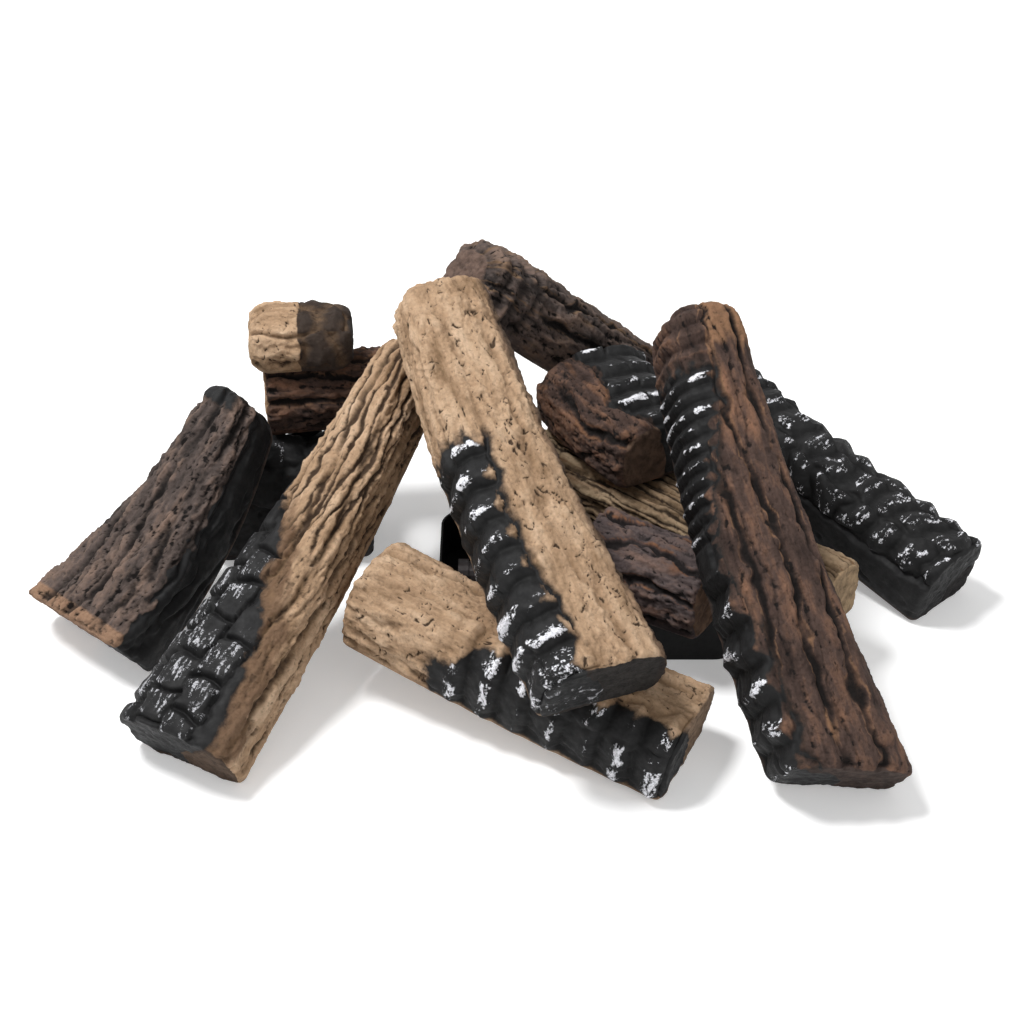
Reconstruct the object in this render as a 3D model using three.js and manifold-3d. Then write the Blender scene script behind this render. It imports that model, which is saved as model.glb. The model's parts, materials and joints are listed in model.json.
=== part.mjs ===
// A gas log set: thirteen cast ceramic logs stacked on and around a steel burner pan.
// Lengths are in millimetres, +Z is up, +X runs along the width and -Y is the front.

import * as THREE from 'three';
import { mergeVertices } from 'three/addons/utils/BufferGeometryUtils.js';
import Module from 'manifold-3d';

const wasm = await Module();
wasm.setup();

// Clearances
const seatGap = 0.35;
const fitGap = 0.3;
const overrun = 2;

// Relief of the cast bark, and the distances between its rows of points
const grooveDepth = 5;
const lumpHeight = 1.1;
const barkStep = 26;
const leastStep = 2.5;
const bevelShare = 0.6;
const roughShare = 0.25;
const laneShare = 0.55;
const crestBaseShare = 0.7;
const staggerShare = 0.5;

// Crests of the char and knuckles of the heads: their pitch along the log and their height.
// A crest rises over riseShare of its pitch and falls over fallShare, and rowShares are where its points lie.
const crestSizes = {
  scallops: { pitch: 26, height: 7 },
  knobs: { pitch: 29, height: 8 },
  rungs: { pitch: 12, height: 4 },
  plates: { pitch: 30, height: 6.5 },
  blobs: { pitch: 27, height: 6 },
  rocks: { pitch: 38, height: 9 },
  knuckles: { pitch: 16, height: 5.5 },
};
const crestShapes = {
  scallops: { riseShare: 0.3, fallShare: 0.7, staggered: false, rowShares: [0, 0.3] },
  knobs: { riseShare: 0.4, fallShare: 0.6, staggered: false, rowShares: [0, 0.4] },
  rungs: { riseShare: 0.5, fallShare: 0.5, staggered: false, rowShares: [0, 0.5] },
  plates: { riseShare: 0.25, fallShare: 0.25, staggered: true, rowShares: [0, 0.25, 0.5, 0.75] },
  blobs: { riseShare: 0.5, fallShare: 0.5, staggered: true, rowShares: [0, 0.5] },
  rocks: { riseShare: 0.5, fallShare: 0.5, staggered: true, rowShares: [0, 0.5] },
  knuckles: { riseShare: 0.5, fallShare: 0.5, staggered: false, rowShares: [0, 0.5] },
};

// Burner pan
const panWidth = 228;
const panDepth = 138;
const panHeight = 40;
const panWall = 1.6;
const panCorner = 20;
const panX = 58;
const panFront = -38;

// Burner tube: a run with drilled ports and a branch that leaves through the back of the pan
const tubeRadius = 11;
const tubeWall = 1.5;
const tubeEndRoom = 16;
const tubeLength = panWidth - 2 * tubeEndRoom;
const tubeHeight = 20;
const tubeFromFront = 78;
const portRadius = 1.8;
const portPitch = 18;
const portTilt = 28;
const capDepth = 8;
const branchFromEnd = 24;
const branchPastPan = 26;

// Brackets that carry the tube on the floor of the pan
const bracketWidth = 34;
const bracketSheet = 1.5;
const bracketAboveTube = 5;
const bracketFoot = 15;
const bracketInsetShare = 0.2245;
const screwRadius = 2;
const screwHeadRadius = 3.8;
const screwHeadHeight = 2.4;
const screwFromEdge = 5;

// Mixer, air shutter and gas inlet behind the pan
const mixerLength = 56;
const mixerWall = 1.6;
const mixerFromPan = 4;
const windowLength = 15;
const windowWidth = 9;
const windowFromEnd = 9;
const shutterLength = 22;
const shutterWall = 1.2;
const shutterTabHeight = 8;
const shutterTabWidth = 7;
const spudRadius = 7.5;
const spudHeadLength = 7;
const spudNoseRadius = 4;
const spudNoseLength = 11;
const spudBore = 1.2;
const inletRadius = 6.2;
const inletBore = 3.4;
const inletReach = 24;
const inletNutRadius = 9;
const inletNutLength = 12;

// Ember lumps that lie loose in the pan
const emberRadius = 11;
const emberRoughShare = 0.14;
const emberFlatShare = 0.8;

// Sizes and plan places of the logs, from the foot end to the head end.
// x and y are where the middle of the foot end comes down.
const logSizes = {
  left_bark_log: { x: -317, y: -30, length: 210, footWidth: 118, headWidth: 44, thick: 62, bow: -14 },
  left_tan_log: { x: -230, y: -160, length: 356, footWidth: 96, headWidth: 46, thick: 60, bow: -5 },
  left_round_log: { x: -195, y: 138, length: 192, footWidth: 62, headWidth: 58, thick: 60, bow: 2 },
  left_top_log: { x: -204, y: 138, length: 80, footWidth: 58, headWidth: 60, thick: 44, bow: 2 },
  left_charred_log: { x: -238, y: 110, length: 126, footWidth: 80, headWidth: 78, thick: 96, bow: 3 },
  centre_tan_log: { x: 61, y: -172, length: 340, footWidth: 94, headWidth: 70, thick: 58, bow: 8 },
  front_tan_log: { x: 122, y: -157, length: 258, footWidth: 86, headWidth: 80, thick: 60, bow: 4 },
  back_top_log: { x: 142, y: 284, length: 290, footWidth: 72, headWidth: 66, thick: 64, bow: 6 },
  right_charred_log: { x: 117, y: 62, length: 120, footWidth: 84, headWidth: 100, thick: 56, bow: 4 },
  pan_cross_log: { x: 240, y: -46, length: 284, footWidth: 52, headWidth: 74, thick: 54, bow: 2 },
  short_split_log: { x: 146, y: -48, length: 102, footWidth: 62, headWidth: 66, thick: 62, bow: 1 },
  right_bark_log: { x: 224, y: -190, length: 356, footWidth: 94, headWidth: 60, thick: 62, bow: 9 },
  far_right_log: { x: 337, y: 21, length: 300, footWidth: 72, headWidth: 60, thick: 66, bow: 6 },
};

// How far the edges of the two ends are rounded: a little where a log is sawn off, much where it is a knob.
const endRounds = {
  left_bark_log: { foot: 5, head: 14 },
  left_tan_log: { foot: 5, head: 20 },
  left_round_log: { foot: 4, head: 6 },
  left_top_log: { foot: 17, head: 15 },
  left_charred_log: { foot: 9, head: 9 },
  centre_tan_log: { foot: 4, head: 14 },
  front_tan_log: { foot: 4, head: 9 },
  back_top_log: { foot: 6, head: 22 },
  right_charred_log: { foot: 8, head: 10 },
  pan_cross_log: { foot: 5, head: 8 },
  short_split_log: { foot: 5, head: 8 },
  right_bark_log: { foot: 9, head: 22 },
  far_right_log: { foot: 6, head: 12 },
};

// Directions of the logs in degrees: heading in plan, roll about the log, and the slant of each end.
const logAngles = {
  left_bark_log: { heading: 50, roll: 0, footSlant: 0, headSlant: 0 },
  left_tan_log: { heading: 61, roll: 0, footSlant: 0, headSlant: 0 },
  left_round_log: { heading: 8, pitch: 0, roll: 0, footSlant: 0, headSlant: 0 },
  left_top_log: { heading: 6, pitch: 0, roll: 0, footSlant: 0, headSlant: 0 },
  left_charred_log: { heading: 2, pitch: 0, roll: 0, footSlant: 0, headSlant: 0 },
  centre_tan_log: { heading: 112, roll: 0, footSlant: 0, headSlant: 0 },
  front_tan_log: { heading: 153.8, roll: 0, footSlant: 0, headSlant: 0 },
  back_top_log: { heading: 212, roll: 0, footSlant: 0, headSlant: 0 },
  right_charred_log: { heading: 118, pitch: 0, roll: 0, footSlant: 0, headSlant: 0 },
  pan_cross_log: { heading: 139, pitch: 0, roll: 0, footSlant: 0, headSlant: 0 },
  short_split_log: { heading: 148, pitch: 0, roll: 0, footSlant: 0, headSlant: 0 },
  right_bark_log: { heading: 108.6, roll: 0, footSlant: 16, headSlant: 0 },
  far_right_log: { heading: 133, roll: 0, footSlant: 0, headSlant: 0 },
};

// Shape of each log as shares of its own size. flatShare is how far down the flat cut lies, squareShare how
// boxy the section is, and ridges is how many ridges the bark has, with a groove between each two.
const logShapes = {
  left_bark_log: { flatShare: 0.7, squareShare: 0.5, ridges: 6, seed: 3 },
  left_tan_log: { flatShare: 0.7, squareShare: 0.4, ridges: 6, seed: 11 },
  left_round_log: { flatShare: 0.95, squareShare: 0.1, ridges: 6, seed: 17 },
  left_top_log: { flatShare: 0.8, squareShare: 0.3, ridges: 4, seed: 23 },
  left_charred_log: { flatShare: 0.8, squareShare: 0.4, ridges: 5, seed: 29 },
  centre_tan_log: { flatShare: 0.7, squareShare: 0.6, ridges: 5, seed: 31 },
  front_tan_log: { flatShare: 0.7, squareShare: 0.6, ridges: 5, seed: 37 },
  back_top_log: { flatShare: 0.8, squareShare: 0.3, ridges: 6, seed: 41 },
  right_charred_log: { flatShare: 0.7, squareShare: 0.4, ridges: 5, seed: 43 },
  pan_cross_log: { flatShare: 0.8, squareShare: 0.3, ridges: 6, seed: 47 },
  short_split_log: { flatShare: 0.85, squareShare: 0.3, ridges: 5, seed: 53 },
  right_bark_log: { flatShare: 0.7, squareShare: 0.6, ridges: 6, seed: 59 },
  far_right_log: { flatShare: 0.7, squareShare: 0.5, ridges: 5, seed: 61 },
};

// Where char or knuckles take the bark's place: on the ridges from firstRidge up to endRidge, counted from
// the log's left side over its top, and between two shares of its length.
const logBands = {
  left_tan_log: [
    { kind: 'plates', firstRidge: 0, endRidge: 1, startShare: 0, endShare: 0.64 },
    { kind: 'plates', firstRidge: 1, endRidge: 2, startShare: 0, endShare: 0.46 },
    { kind: 'plates', firstRidge: 2, endRidge: 3, startShare: 0, endShare: 0.2 },
  ],
  left_top_log: [{ kind: 'blobs', firstRidge: 0, endRidge: 4, startShare: 0.5, endShare: 1 }],
  left_charred_log: [{ kind: 'rocks', firstRidge: 0, endRidge: 5, startShare: 0, endShare: 1 }],
  centre_tan_log: [{ kind: 'scallops', firstRidge: 0, endRidge: 2, startShare: 0, endShare: 0.56 }],
  front_tan_log: [{ kind: 'scallops', firstRidge: 0, endRidge: 2, startShare: 0, endShare: 0.68 }],
  back_top_log: [{ kind: 'knuckles', firstRidge: 0, endRidge: 4, startShare: 0.8, endShare: 1 }],
  right_charred_log: [{ kind: 'scallops', firstRidge: 2, endRidge: 5, startShare: 0, endShare: 1 }],
  right_bark_log: [
    { kind: 'knobs', firstRidge: 0, endRidge: 2, startShare: 0, endShare: 0.45 },
    { kind: 'rungs', firstRidge: 0, endRidge: 2, startShare: 0.5, endShare: 0.85 },
    { kind: 'knuckles', firstRidge: 0, endRidge: 3, startShare: 0.86, endShare: 1 },
  ],
  far_right_log: [{ kind: 'blobs', firstRidge: 1, endRidge: 4, startShare: 0, endShare: 1 }],
};

// Colours
const brownBark = 0x4a3a34;
const tanBark = 0xb89a72;
const blackChar = 0x25252a;
const blackSteel = 0x1b1b1d;
const brightSteel = 0x8c8c8e;
const brass = 0xb08a3e;

// How the bark lies: angles in degrees round the section, from the log's left side over its top
const barkStart = -20;
const barkEnd = 200;
const barkWander = 9;
const grooveHalfAngle = 8;
const wanderTurns = 1.3;
const wanderStarts = 3;
const underAngles = [208, 221, 242, 270, 298, 319, 332];
const roundedTurns = [0, 30, 60];
const knobRound = 12;
const cutSharpness = 12;
const fullTurn = 2 * Math.PI;

// How finely a log is tipped down to what it leans on, in degrees and halvings of the last step
const steepestPitch = 70;
const tipStep = 3;
const tipHalvings = 14;

// Sides of round pieces, of hexagons, and of a quarter turn of the pan's corner
const roundSides = 20;
const screwSides = 12;
const portSides = 8;
const hexSides = 6;
const cornerSides = 5;

function degrees(angle) {
  return THREE.MathUtils.degToRad(angle);
}

// A steady value between -1 and 1 for a place in the relief, the same each time it is asked for.
const scatter = { seed: 12.9898, first: 78.233, second: 37.719, reach: 43758.5453 };

function unevenness(seed, first, second) {
  const place = seed * scatter.seed + first * scatter.first + second * scatter.second;
  const value = Math.sin(place) * scatter.reach;
  return 2 * (value - Math.floor(value)) - 1;
}

function makeMaterial(colour, roughness, metalness) {
  return new THREE.MeshStandardMaterial({ color: colour, roughness, metalness });
}

// Solids for cuts and joins
function toSolid(geometry) {
  const bare = geometry.clone();
  bare.deleteAttribute('normal');
  bare.deleteAttribute('uv');
  const merged = mergeVertices(bare);
  return new wasm.Manifold(
    new wasm.Mesh({
      numProp: 3,
      vertProperties: new Float32Array(merged.attributes.position.array),
      triVerts: new Uint32Array(merged.index.array),
    }),
  );
}

function toGeometry(solid) {
  const mesh = solid.getMesh();
  const geometry = new THREE.BufferGeometry();
  geometry.setAttribute('position', new THREE.BufferAttribute(new Float32Array(mesh.vertProperties), 3));
  geometry.setIndex(new THREE.BufferAttribute(new Uint32Array(mesh.triVerts), 1));
  return geometry;
}

// The section of a log: a rounded box that a flat cut closes below.
function sectionRadius(halfWidth, halfThick, shape, angle) {
  const power = 2 + 2 * shape.squareShare;
  const across = Math.abs(Math.cos(angle) / halfWidth) ** power;
  const upward = Math.abs(Math.sin(angle) / halfThick) ** power;
  const crown = (across + upward) ** (-1 / power);
  const fall = -Math.sin(angle);
  if (fall <= 0) {
    return crown;
  }
  const flat = (shape.flatShare * halfThick) / fall;
  return (crown ** -cutSharpness + flat ** -cutSharpness) ** (-1 / cutSharpness);
}

// The columns of points round a log: the bottom and the two shoulders of each groove, the two edges of the
// bark, and a few plain columns under it.
function columnsOf(shape) {
  const columns = [{ ridge: 0, edge: 0 }];
  for (let groove = 1; groove < shape.ridges; groove += 1) {
    columns.push({ groove, ridge: groove - 1, side: -1 });
    columns.push({ groove, side: 0 });
    columns.push({ groove, ridge: groove, side: 1 });
  }
  columns.push({ ridge: shape.ridges - 1, edge: 1 });
  for (const angle of underAngles) {
    columns.push({ under: angle });
  }
  return columns;
}

function columnAngle(shape, column, share) {
  if (column.under !== undefined) {
    return degrees(column.under);
  }
  if (column.edge !== undefined) {
    return degrees(barkStart + (barkEnd - barkStart) * column.edge);
  }
  const turnShare = column.groove / shape.ridges;
  const wave = share * wanderTurns + shape.seed / wanderStarts;
  const sway = Math.sin(Math.PI * turnShare) * Math.sin(fullTurn * wave);
  const middle = barkStart + (barkEnd - barkStart) * turnShare + barkWander * sway;
  return degrees(middle + column.side * grooveHalfAngle);
}

// Which band covers a ridge at a share of the length, if any
function bandAt(name, ridge, share) {
  const bands = logBands[name] ?? [];
  const acrossIt = (band) => ridge >= band.firstRidge && ridge < band.endRidge;
  const alongIt = (band) => share >= band.startShare && share <= band.endShare;
  return bands.find((band) => acrossIt(band) && alongIt(band));
}

function crestShare(kind, along, ridge) {
  const shape = crestShapes[kind];
  const stagger = shape.staggered && ridge % 2 === 1 ? staggerShare : 0;
  const phase = along / crestSizes[kind].pitch + stagger;
  const part = phase - Math.floor(phase);
  return Math.min(1, part / shape.riseShare, (1 - part) / shape.fallShare);
}

// The relief of a column at a distance along the log, outward from the plain section
function reliefAt(name, column, along, share, row) {
  const shape = logShapes[name];
  if (column.under !== undefined) {
    return 0;
  }
  if (column.side === 0) {
    const band = bandAt(name, column.groove, share) ?? bandAt(name, column.groove - 1, share);
    if (band !== undefined) {
      return -laneShare * crestSizes[band.kind].height;
    }
    return -grooveDepth * (1 - roughShare * (1 - unevenness(shape.seed, column.groove, row)));
  }
  const band = bandAt(name, column.ridge, share);
  if (band !== undefined) {
    const crest = crestShare(band.kind, along, column.ridge);
    return crestSizes[band.kind].height * (crest - crestBaseShare);
  }
  return lumpHeight * unevenness(shape.seed + 1, column.ridge, Math.floor(row / 2));
}

// The rows of points of one end: how far each lies from the end, and how far in from the section
function endRows(round) {
  const rows = [];
  if (round < knobRound) {
    rows.push({ fromEnd: 0, inset: round * bevelShare });
  } else {
    for (const turn of roundedTurns) {
      rows.push({
        fromEnd: round * (1 - Math.cos(degrees(turn))),
        inset: round * (1 - Math.sin(degrees(turn))),
      });
    }
  }
  return rows;
}

// The places along a log where its bark and its crests need a row of points
function rowPlaces(name) {
  const length = logSizes[name].length;
  const rounds = endRounds[name];
  const last = length - rounds.head;
  const wanted = [];
  for (const band of logBands[name] ?? []) {
    const pitch = crestSizes[band.kind].pitch;
    for (let crest = 0; crest * pitch < band.endShare * length; crest += 1) {
      for (const rowShare of crestShapes[band.kind].rowShares) {
        const along = (crest + rowShare) * pitch;
        if (along >= band.startShare * length && along <= band.endShare * length) {
          wanted.push(along);
        }
      }
    }
  }
  wanted.sort((one, other) => one - other);
  const places = [rounds.foot];
  for (const along of [...wanted, last]) {
    const previous = places[places.length - 1];
    const tooNear = along - previous < leastStep || (along !== last && last - along < leastStep);
    if (!tooNear) {
      const steps = Math.max(1, Math.round((along - previous) / barkStep));
      for (let step = 1; step <= steps; step += 1) {
        places.push(previous + ((along - previous) * step) / steps);
      }
    }
  }
  return places;
}

function rowsOf(name) {
  const length = logSizes[name].length;
  const rounds = endRounds[name];
  const foot = endRows(rounds.foot).map(({ fromEnd, inset }) => ({
    along: fromEnd,
    inset,
    round: rounds.foot,
  }));
  const head = endRows(rounds.head).map(({ fromEnd, inset }) => ({
    along: length - fromEnd,
    inset,
    round: rounds.head,
  }));
  const middle = rowPlaces(name).map((along) => ({ along, inset: 0, round: rounds.foot }));
  return [...foot, ...middle, ...head.reverse()];
}

// A log lies along X from its foot at zero to its head, with its flat cut facing down.
function logGeometry(name) {
  const columns = columnsOf(logShapes[name]);
  const rows = rowsOf(name);
  const geometry = new THREE.CylinderGeometry(1, 1, 1, columns.length, rows.length - 1);
  geometry.deleteAttribute('normal');
  geometry.deleteAttribute('uv');
  const places = geometry.attributes.position;
  const point = new THREE.Vector3();
  for (let index = 0; index < places.count; index += 1) {
    point.fromBufferAttribute(places, index);
    const row = Math.round((point.y + 0.5) * (rows.length - 1));
    const onAxis = Math.hypot(point.x, point.z) < 0.5;
    const turn = (Math.atan2(point.x, point.z) / fullTurn + 1) % 1;
    const column = columns[Math.round(turn * columns.length) % columns.length];
    placeLogPoint(point, name, column, rows[row], row, onAxis);
    places.setXYZ(index, point.x, point.y, point.z);
  }
  return mergeVertices(geometry);
}

function placeLogPoint(point, name, column, place, row, onAxis) {
  const size = logSizes[name];
  const shape = logShapes[name];
  const slants = logAngles[name];
  const share = place.along / size.length;
  const angle = columnAngle(shape, column, share);
  const halfWidth = (size.footWidth + (size.headWidth - size.footWidth) * share) / 2;
  const halfThick = size.thick / (1 + shape.flatShare);
  const relief = reliefAt(name, column, place.along, share, row) * (1 - place.inset / place.round);
  let radius = sectionRadius(halfWidth, halfThick, shape, angle) + relief - place.inset;
  if (onAxis) {
    radius = 0;
  }
  const across = radius * Math.cos(angle);
  const upward = radius * Math.sin(angle);
  const bow = size.bow * Math.sin(Math.PI * share);
  const footSlant = (1 - share) * Math.tan(degrees(slants.footSlant));
  const headSlant = share * Math.tan(degrees(slants.headSlant));
  point.set(place.along + across * (footSlant + headSlant), across + bow, upward);
}

// The heights between two pieces, one above the other, wherever they overlap in plan.
// A triangle that stands upright has next to no area in plan and is left out.
const thinArea = 1e-3;

function worldTriangles(mesh, facing) {
  mesh.updateMatrixWorld(true);
  const geometry = mesh.geometry.clone().applyMatrix4(mesh.matrixWorld);
  const places = geometry.attributes.position;
  const order = geometry.index ? geometry.index.array : Array.from(Array(places.count).keys());
  const triangles = [];
  const corners = [new THREE.Vector3(), new THREE.Vector3(), new THREE.Vector3()];
  for (let start = 0; start < order.length; start += 3) {
    for (let corner = 0; corner < 3; corner += 1) {
      corners[corner].fromBufferAttribute(places, order[start + corner]);
    }
    const [a, b, c] = corners;
    const area = (b.x - a.x) * (c.y - a.y) - (b.y - a.y) * (c.x - a.x);
    if (area * facing > thinArea) {
      triangles.push({
        points: [a.clone(), b.clone(), c.clone()],
        area,
        lowX: Math.min(a.x, b.x, c.x),
        highX: Math.max(a.x, b.x, c.x),
        lowY: Math.min(a.y, b.y, c.y),
        highY: Math.max(a.y, b.y, c.y),
      });
    }
  }
  return triangles;
}

function heightIn(triangle, x, y) {
  const [a, b, c] = triangle.points;
  const first = ((b.x - x) * (c.y - y) - (b.y - y) * (c.x - x)) / triangle.area;
  const second = ((c.x - x) * (a.y - y) - (c.y - y) * (a.x - x)) / triangle.area;
  const third = 1 - first - second;
  if (first < 0 || second < 0 || third < 0) {
    return null;
  }
  return first * a.z + second * b.z + third * c.z;
}

function edgeGap(upperStart, upperEnd, lowerStart, lowerEnd) {
  const ux = upperEnd.x - upperStart.x;
  const uy = upperEnd.y - upperStart.y;
  const lx = lowerEnd.x - lowerStart.x;
  const ly = lowerEnd.y - lowerStart.y;
  const cross = ux * ly - uy * lx;
  if (cross === 0) {
    return Infinity;
  }
  const dx = lowerStart.x - upperStart.x;
  const dy = lowerStart.y - upperStart.y;
  const upperShare = (dx * ly - dy * lx) / cross;
  const lowerShare = (dx * uy - dy * ux) / cross;
  if (upperShare < 0 || upperShare > 1 || lowerShare < 0 || lowerShare > 1) {
    return Infinity;
  }
  const upperHeight = upperStart.z + (upperEnd.z - upperStart.z) * upperShare;
  return upperHeight - lowerStart.z - (lowerEnd.z - lowerStart.z) * lowerShare;
}

function triangleGap(upper, lower) {
  let gap = Infinity;
  for (let corner = 0; corner < 3; corner += 1) {
    const high = upper.points[corner];
    const low = lower.points[corner];
    const below = heightIn(lower, high.x, high.y);
    const above = heightIn(upper, low.x, low.y);
    if (below !== null) {
      gap = Math.min(gap, high.z - below);
    }
    if (above !== null) {
      gap = Math.min(gap, above - low.z);
    }
    for (let other = 0; other < 3; other += 1) {
      const upperEnd = upper.points[(corner + 1) % 3];
      const lowerEnd = lower.points[(other + 1) % 3];
      gap = Math.min(gap, edgeGap(high, upperEnd, lower.points[other], lowerEnd));
    }
  }
  return gap;
}

function verticalGap(mesh, lowerTriangles) {
  let gap = Infinity;
  for (const upper of worldTriangles(mesh, -1)) {
    for (const lower of lowerTriangles) {
      const apartAcross = upper.highX < lower.lowX || upper.lowX > lower.highX;
      const apartAlong = upper.highY < lower.lowY || upper.lowY > lower.highY;
      if (!apartAcross && !apartAlong) {
        gap = Math.min(gap, triangleGap(upper, lower));
      }
    }
  }
  return gap;
}

function lowestHeight(mesh) {
  mesh.updateMatrixWorld(true);
  return new THREE.Box3().setFromObject(mesh, true).min.z;
}

// Everything that is in place already, by name
const placed = {};

function keep(mesh) {
  placed[mesh.name] = worldTriangles(mesh, 1);
  return mesh;
}

function trianglesOf(names) {
  return names.flatMap((name) => placed[name]);
}

// Lowers a log until it meets the floor or one of the pieces named.
function comeDown(mesh, names) {
  mesh.position.z -= lowestHeight(mesh);
  const gap = verticalGap(mesh, trianglesOf(names)) - seatGap;
  if (gap < 0) {
    mesh.position.z -= gap;
  }
}

function turnLog(mesh, pitch) {
  const angles = logAngles[mesh.name];
  mesh.rotation.set(degrees(angles.roll), -pitch, degrees(angles.heading), 'ZYX');
}

// Tips a log down about its foot until it meets whatever is in place already.
function leanDown(mesh, footSupports) {
  const others = trianglesOf(Object.keys(placed).filter((name) => !footSupports.includes(name)));
  const gapAt = (pitch) => {
    turnLog(mesh, pitch);
    comeDown(mesh, footSupports);
    return verticalGap(mesh, others) - seatGap;
  };
  const step = degrees(tipStep);
  let clear = degrees(steepestPitch);
  let low = clear;
  while (low > 0 && gapAt(low) >= 0) {
    clear = low;
    low -= step;
  }
  if (gapAt(low) < 0) {
    for (let halving = 0; halving < tipHalvings; halving += 1) {
      const middle = (clear + low) / 2;
      if (gapAt(middle) >= 0) {
        clear = middle;
      } else {
        low = middle;
      }
    }
  }
  gapAt(clear);
}

// A log that lies keeps its pitch and comes down on whatever is below it.
function layLog(mesh) {
  turnLog(mesh, degrees(logAngles[mesh.name].pitch));
  comeDown(mesh, Object.keys(placed));
}

function makeLog(name, material, footSupports) {
  const mesh = new THREE.Mesh(logGeometry(name), material);
  mesh.name = name;
  mesh.position.set(logSizes[name].x, logSizes[name].y, 0);
  if (footSupports === undefined) {
    layLog(mesh);
  } else {
    leanDown(mesh, footSupports);
  }
  return keep(mesh);
}

// Where the tube and its branch run
const tubeY = panFront + tubeFromFront;
const branchX = panX - tubeLength / 2 + branchFromEnd;
const panBack = panFront + panDepth;
const branchEnd = panBack + branchPastPan;

// Round bars and bores along X or Y
function barAlongX(radius, length, sides = roundSides) {
  const geometry = new THREE.CylinderGeometry(radius, radius, length, sides);
  geometry.rotateZ(Math.PI / 2);
  return geometry;
}

function barAlongY(radius, length, sides = roundSides) {
  return new THREE.CylinderGeometry(radius, radius, length, sides);
}

function movedSolid(geometry, x, y, z) {
  geometry.translate(x, y, z);
  return toSolid(geometry);
}

function addPiece(parent, name, solid, material) {
  const mesh = new THREE.Mesh(toGeometry(solid), material);
  mesh.name = name;
  parent.add(mesh);
  return keep(mesh);
}

// Burner pan: a pressed tray with round corners
function roundedTray(width, depth, corner) {
  const shape = new THREE.Shape();
  const halfWidth = width / 2;
  const halfDepth = depth / 2;
  shape.moveTo(-halfWidth + corner, -halfDepth);
  shape.lineTo(halfWidth - corner, -halfDepth);
  shape.absarc(halfWidth - corner, -halfDepth + corner, corner, -Math.PI / 2, 0);
  shape.lineTo(halfWidth, halfDepth - corner);
  shape.absarc(halfWidth - corner, halfDepth - corner, corner, 0, Math.PI / 2);
  shape.lineTo(-halfWidth + corner, halfDepth);
  shape.absarc(-halfWidth + corner, halfDepth - corner, corner, Math.PI / 2, Math.PI);
  shape.lineTo(-halfWidth, -halfDepth + corner);
  shape.absarc(-halfWidth + corner, -halfDepth + corner, corner, Math.PI, 1.5 * Math.PI);
  return shape;
}

function traySolid(width, depth, corner, height, z) {
  const settings = { bevelEnabled: false, curveSegments: cornerSides, depth: height };
  const geometry = new THREE.ExtrudeGeometry(roundedTray(width, depth, corner), settings);
  return movedSolid(geometry, panX, panFront + panDepth / 2, z);
}

// Places of the brackets along X and of the screws in each of them
const bracketPlaces = [-1, 1].map((side) => panX + side * tubeLength * (0.5 - bracketInsetShare));
const screwPlaces = bracketPlaces.flatMap((x) =>
  [-1, 1].map((side) => ({
    x: x + bracketSheet / 2 + bracketFoot / 2,
    y: tubeY + side * (bracketWidth / 2 - screwFromEdge),
  })),
);

function screwHole(place) {
  const radius = screwRadius + fitGap;
  const geometry = new THREE.CylinderGeometry(radius, radius, panHeight, screwSides);
  geometry.rotateX(Math.PI / 2);
  return movedSolid(geometry, place.x, place.y, 0);
}

function makePan(parent, material) {
  let solid = traySolid(panWidth, panDepth, panCorner, panHeight, 0);
  const roomWidth = panWidth - 2 * panWall;
  const roomDepth = panDepth - 2 * panWall;
  solid = solid.subtract(traySolid(roomWidth, roomDepth, panCorner - panWall, panHeight, panWall));
  const outlet = barAlongY(tubeRadius + fitGap, 2 * panCorner);
  solid = solid.subtract(movedSolid(outlet, branchX, panBack, tubeHeight));
  for (const place of screwPlaces) {
    solid = solid.subtract(screwHole(place));
  }
  return addPiece(parent, 'burner_pan', solid, material);
}

// Burner tube
function portDrill(x, tilt) {
  const drill = new THREE.CylinderGeometry(portRadius, portRadius, 2 * tubeRadius, portSides);
  drill.rotateX(Math.PI / 2);
  drill.translate(0, 0, tubeRadius);
  drill.rotateX(degrees(tilt));
  return movedSolid(drill, x, tubeY, tubeHeight);
}

function makeTube(parent, material) {
  const branchLength = branchEnd - tubeY;
  const bore = tubeRadius - tubeWall;
  const run = movedSolid(barAlongX(tubeRadius, tubeLength), panX, tubeY, tubeHeight);
  const branchBar = barAlongY(tubeRadius, branchLength);
  const branch = movedSolid(branchBar, branchX, tubeY + branchLength / 2, tubeHeight);
  const runBore = movedSolid(barAlongX(bore, tubeLength + overrun), panX, tubeY, tubeHeight);
  const branchBoreY = tubeY + branchLength / 2 + overrun / 2;
  const branchBore = movedSolid(barAlongY(bore, branchLength + overrun), branchX, branchBoreY, tubeHeight);
  let solid = run.add(branch).subtract(runBore).subtract(branchBore);
  const portSpan = tubeLength - 2 * capDepth - 2 * portPitch;
  const portCount = Math.floor(portSpan / portPitch) + 1;
  for (let port = 0; port < portCount; port += 1) {
    const x = panX + (port - (portCount - 1) / 2) * portPitch;
    solid = solid.subtract(portDrill(x, port % 2 === 0 ? portTilt : -portTilt));
  }
  return addPiece(parent, 'burner_tube', solid, material);
}

function makeCap(parent, name, side, material) {
  const outerRadius = tubeRadius + fitGap + tubeWall;
  const endX = panX + (side * tubeLength) / 2;
  const roomX = endX - side * (capDepth / 2 - fitGap);
  const cap = movedSolid(barAlongX(outerRadius, capDepth), roomX + side * tubeWall, tubeY, tubeHeight);
  const room = movedSolid(barAlongX(tubeRadius + fitGap, capDepth), roomX, tubeY, tubeHeight);
  return addPiece(parent, name, cap.subtract(room), material);
}

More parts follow.
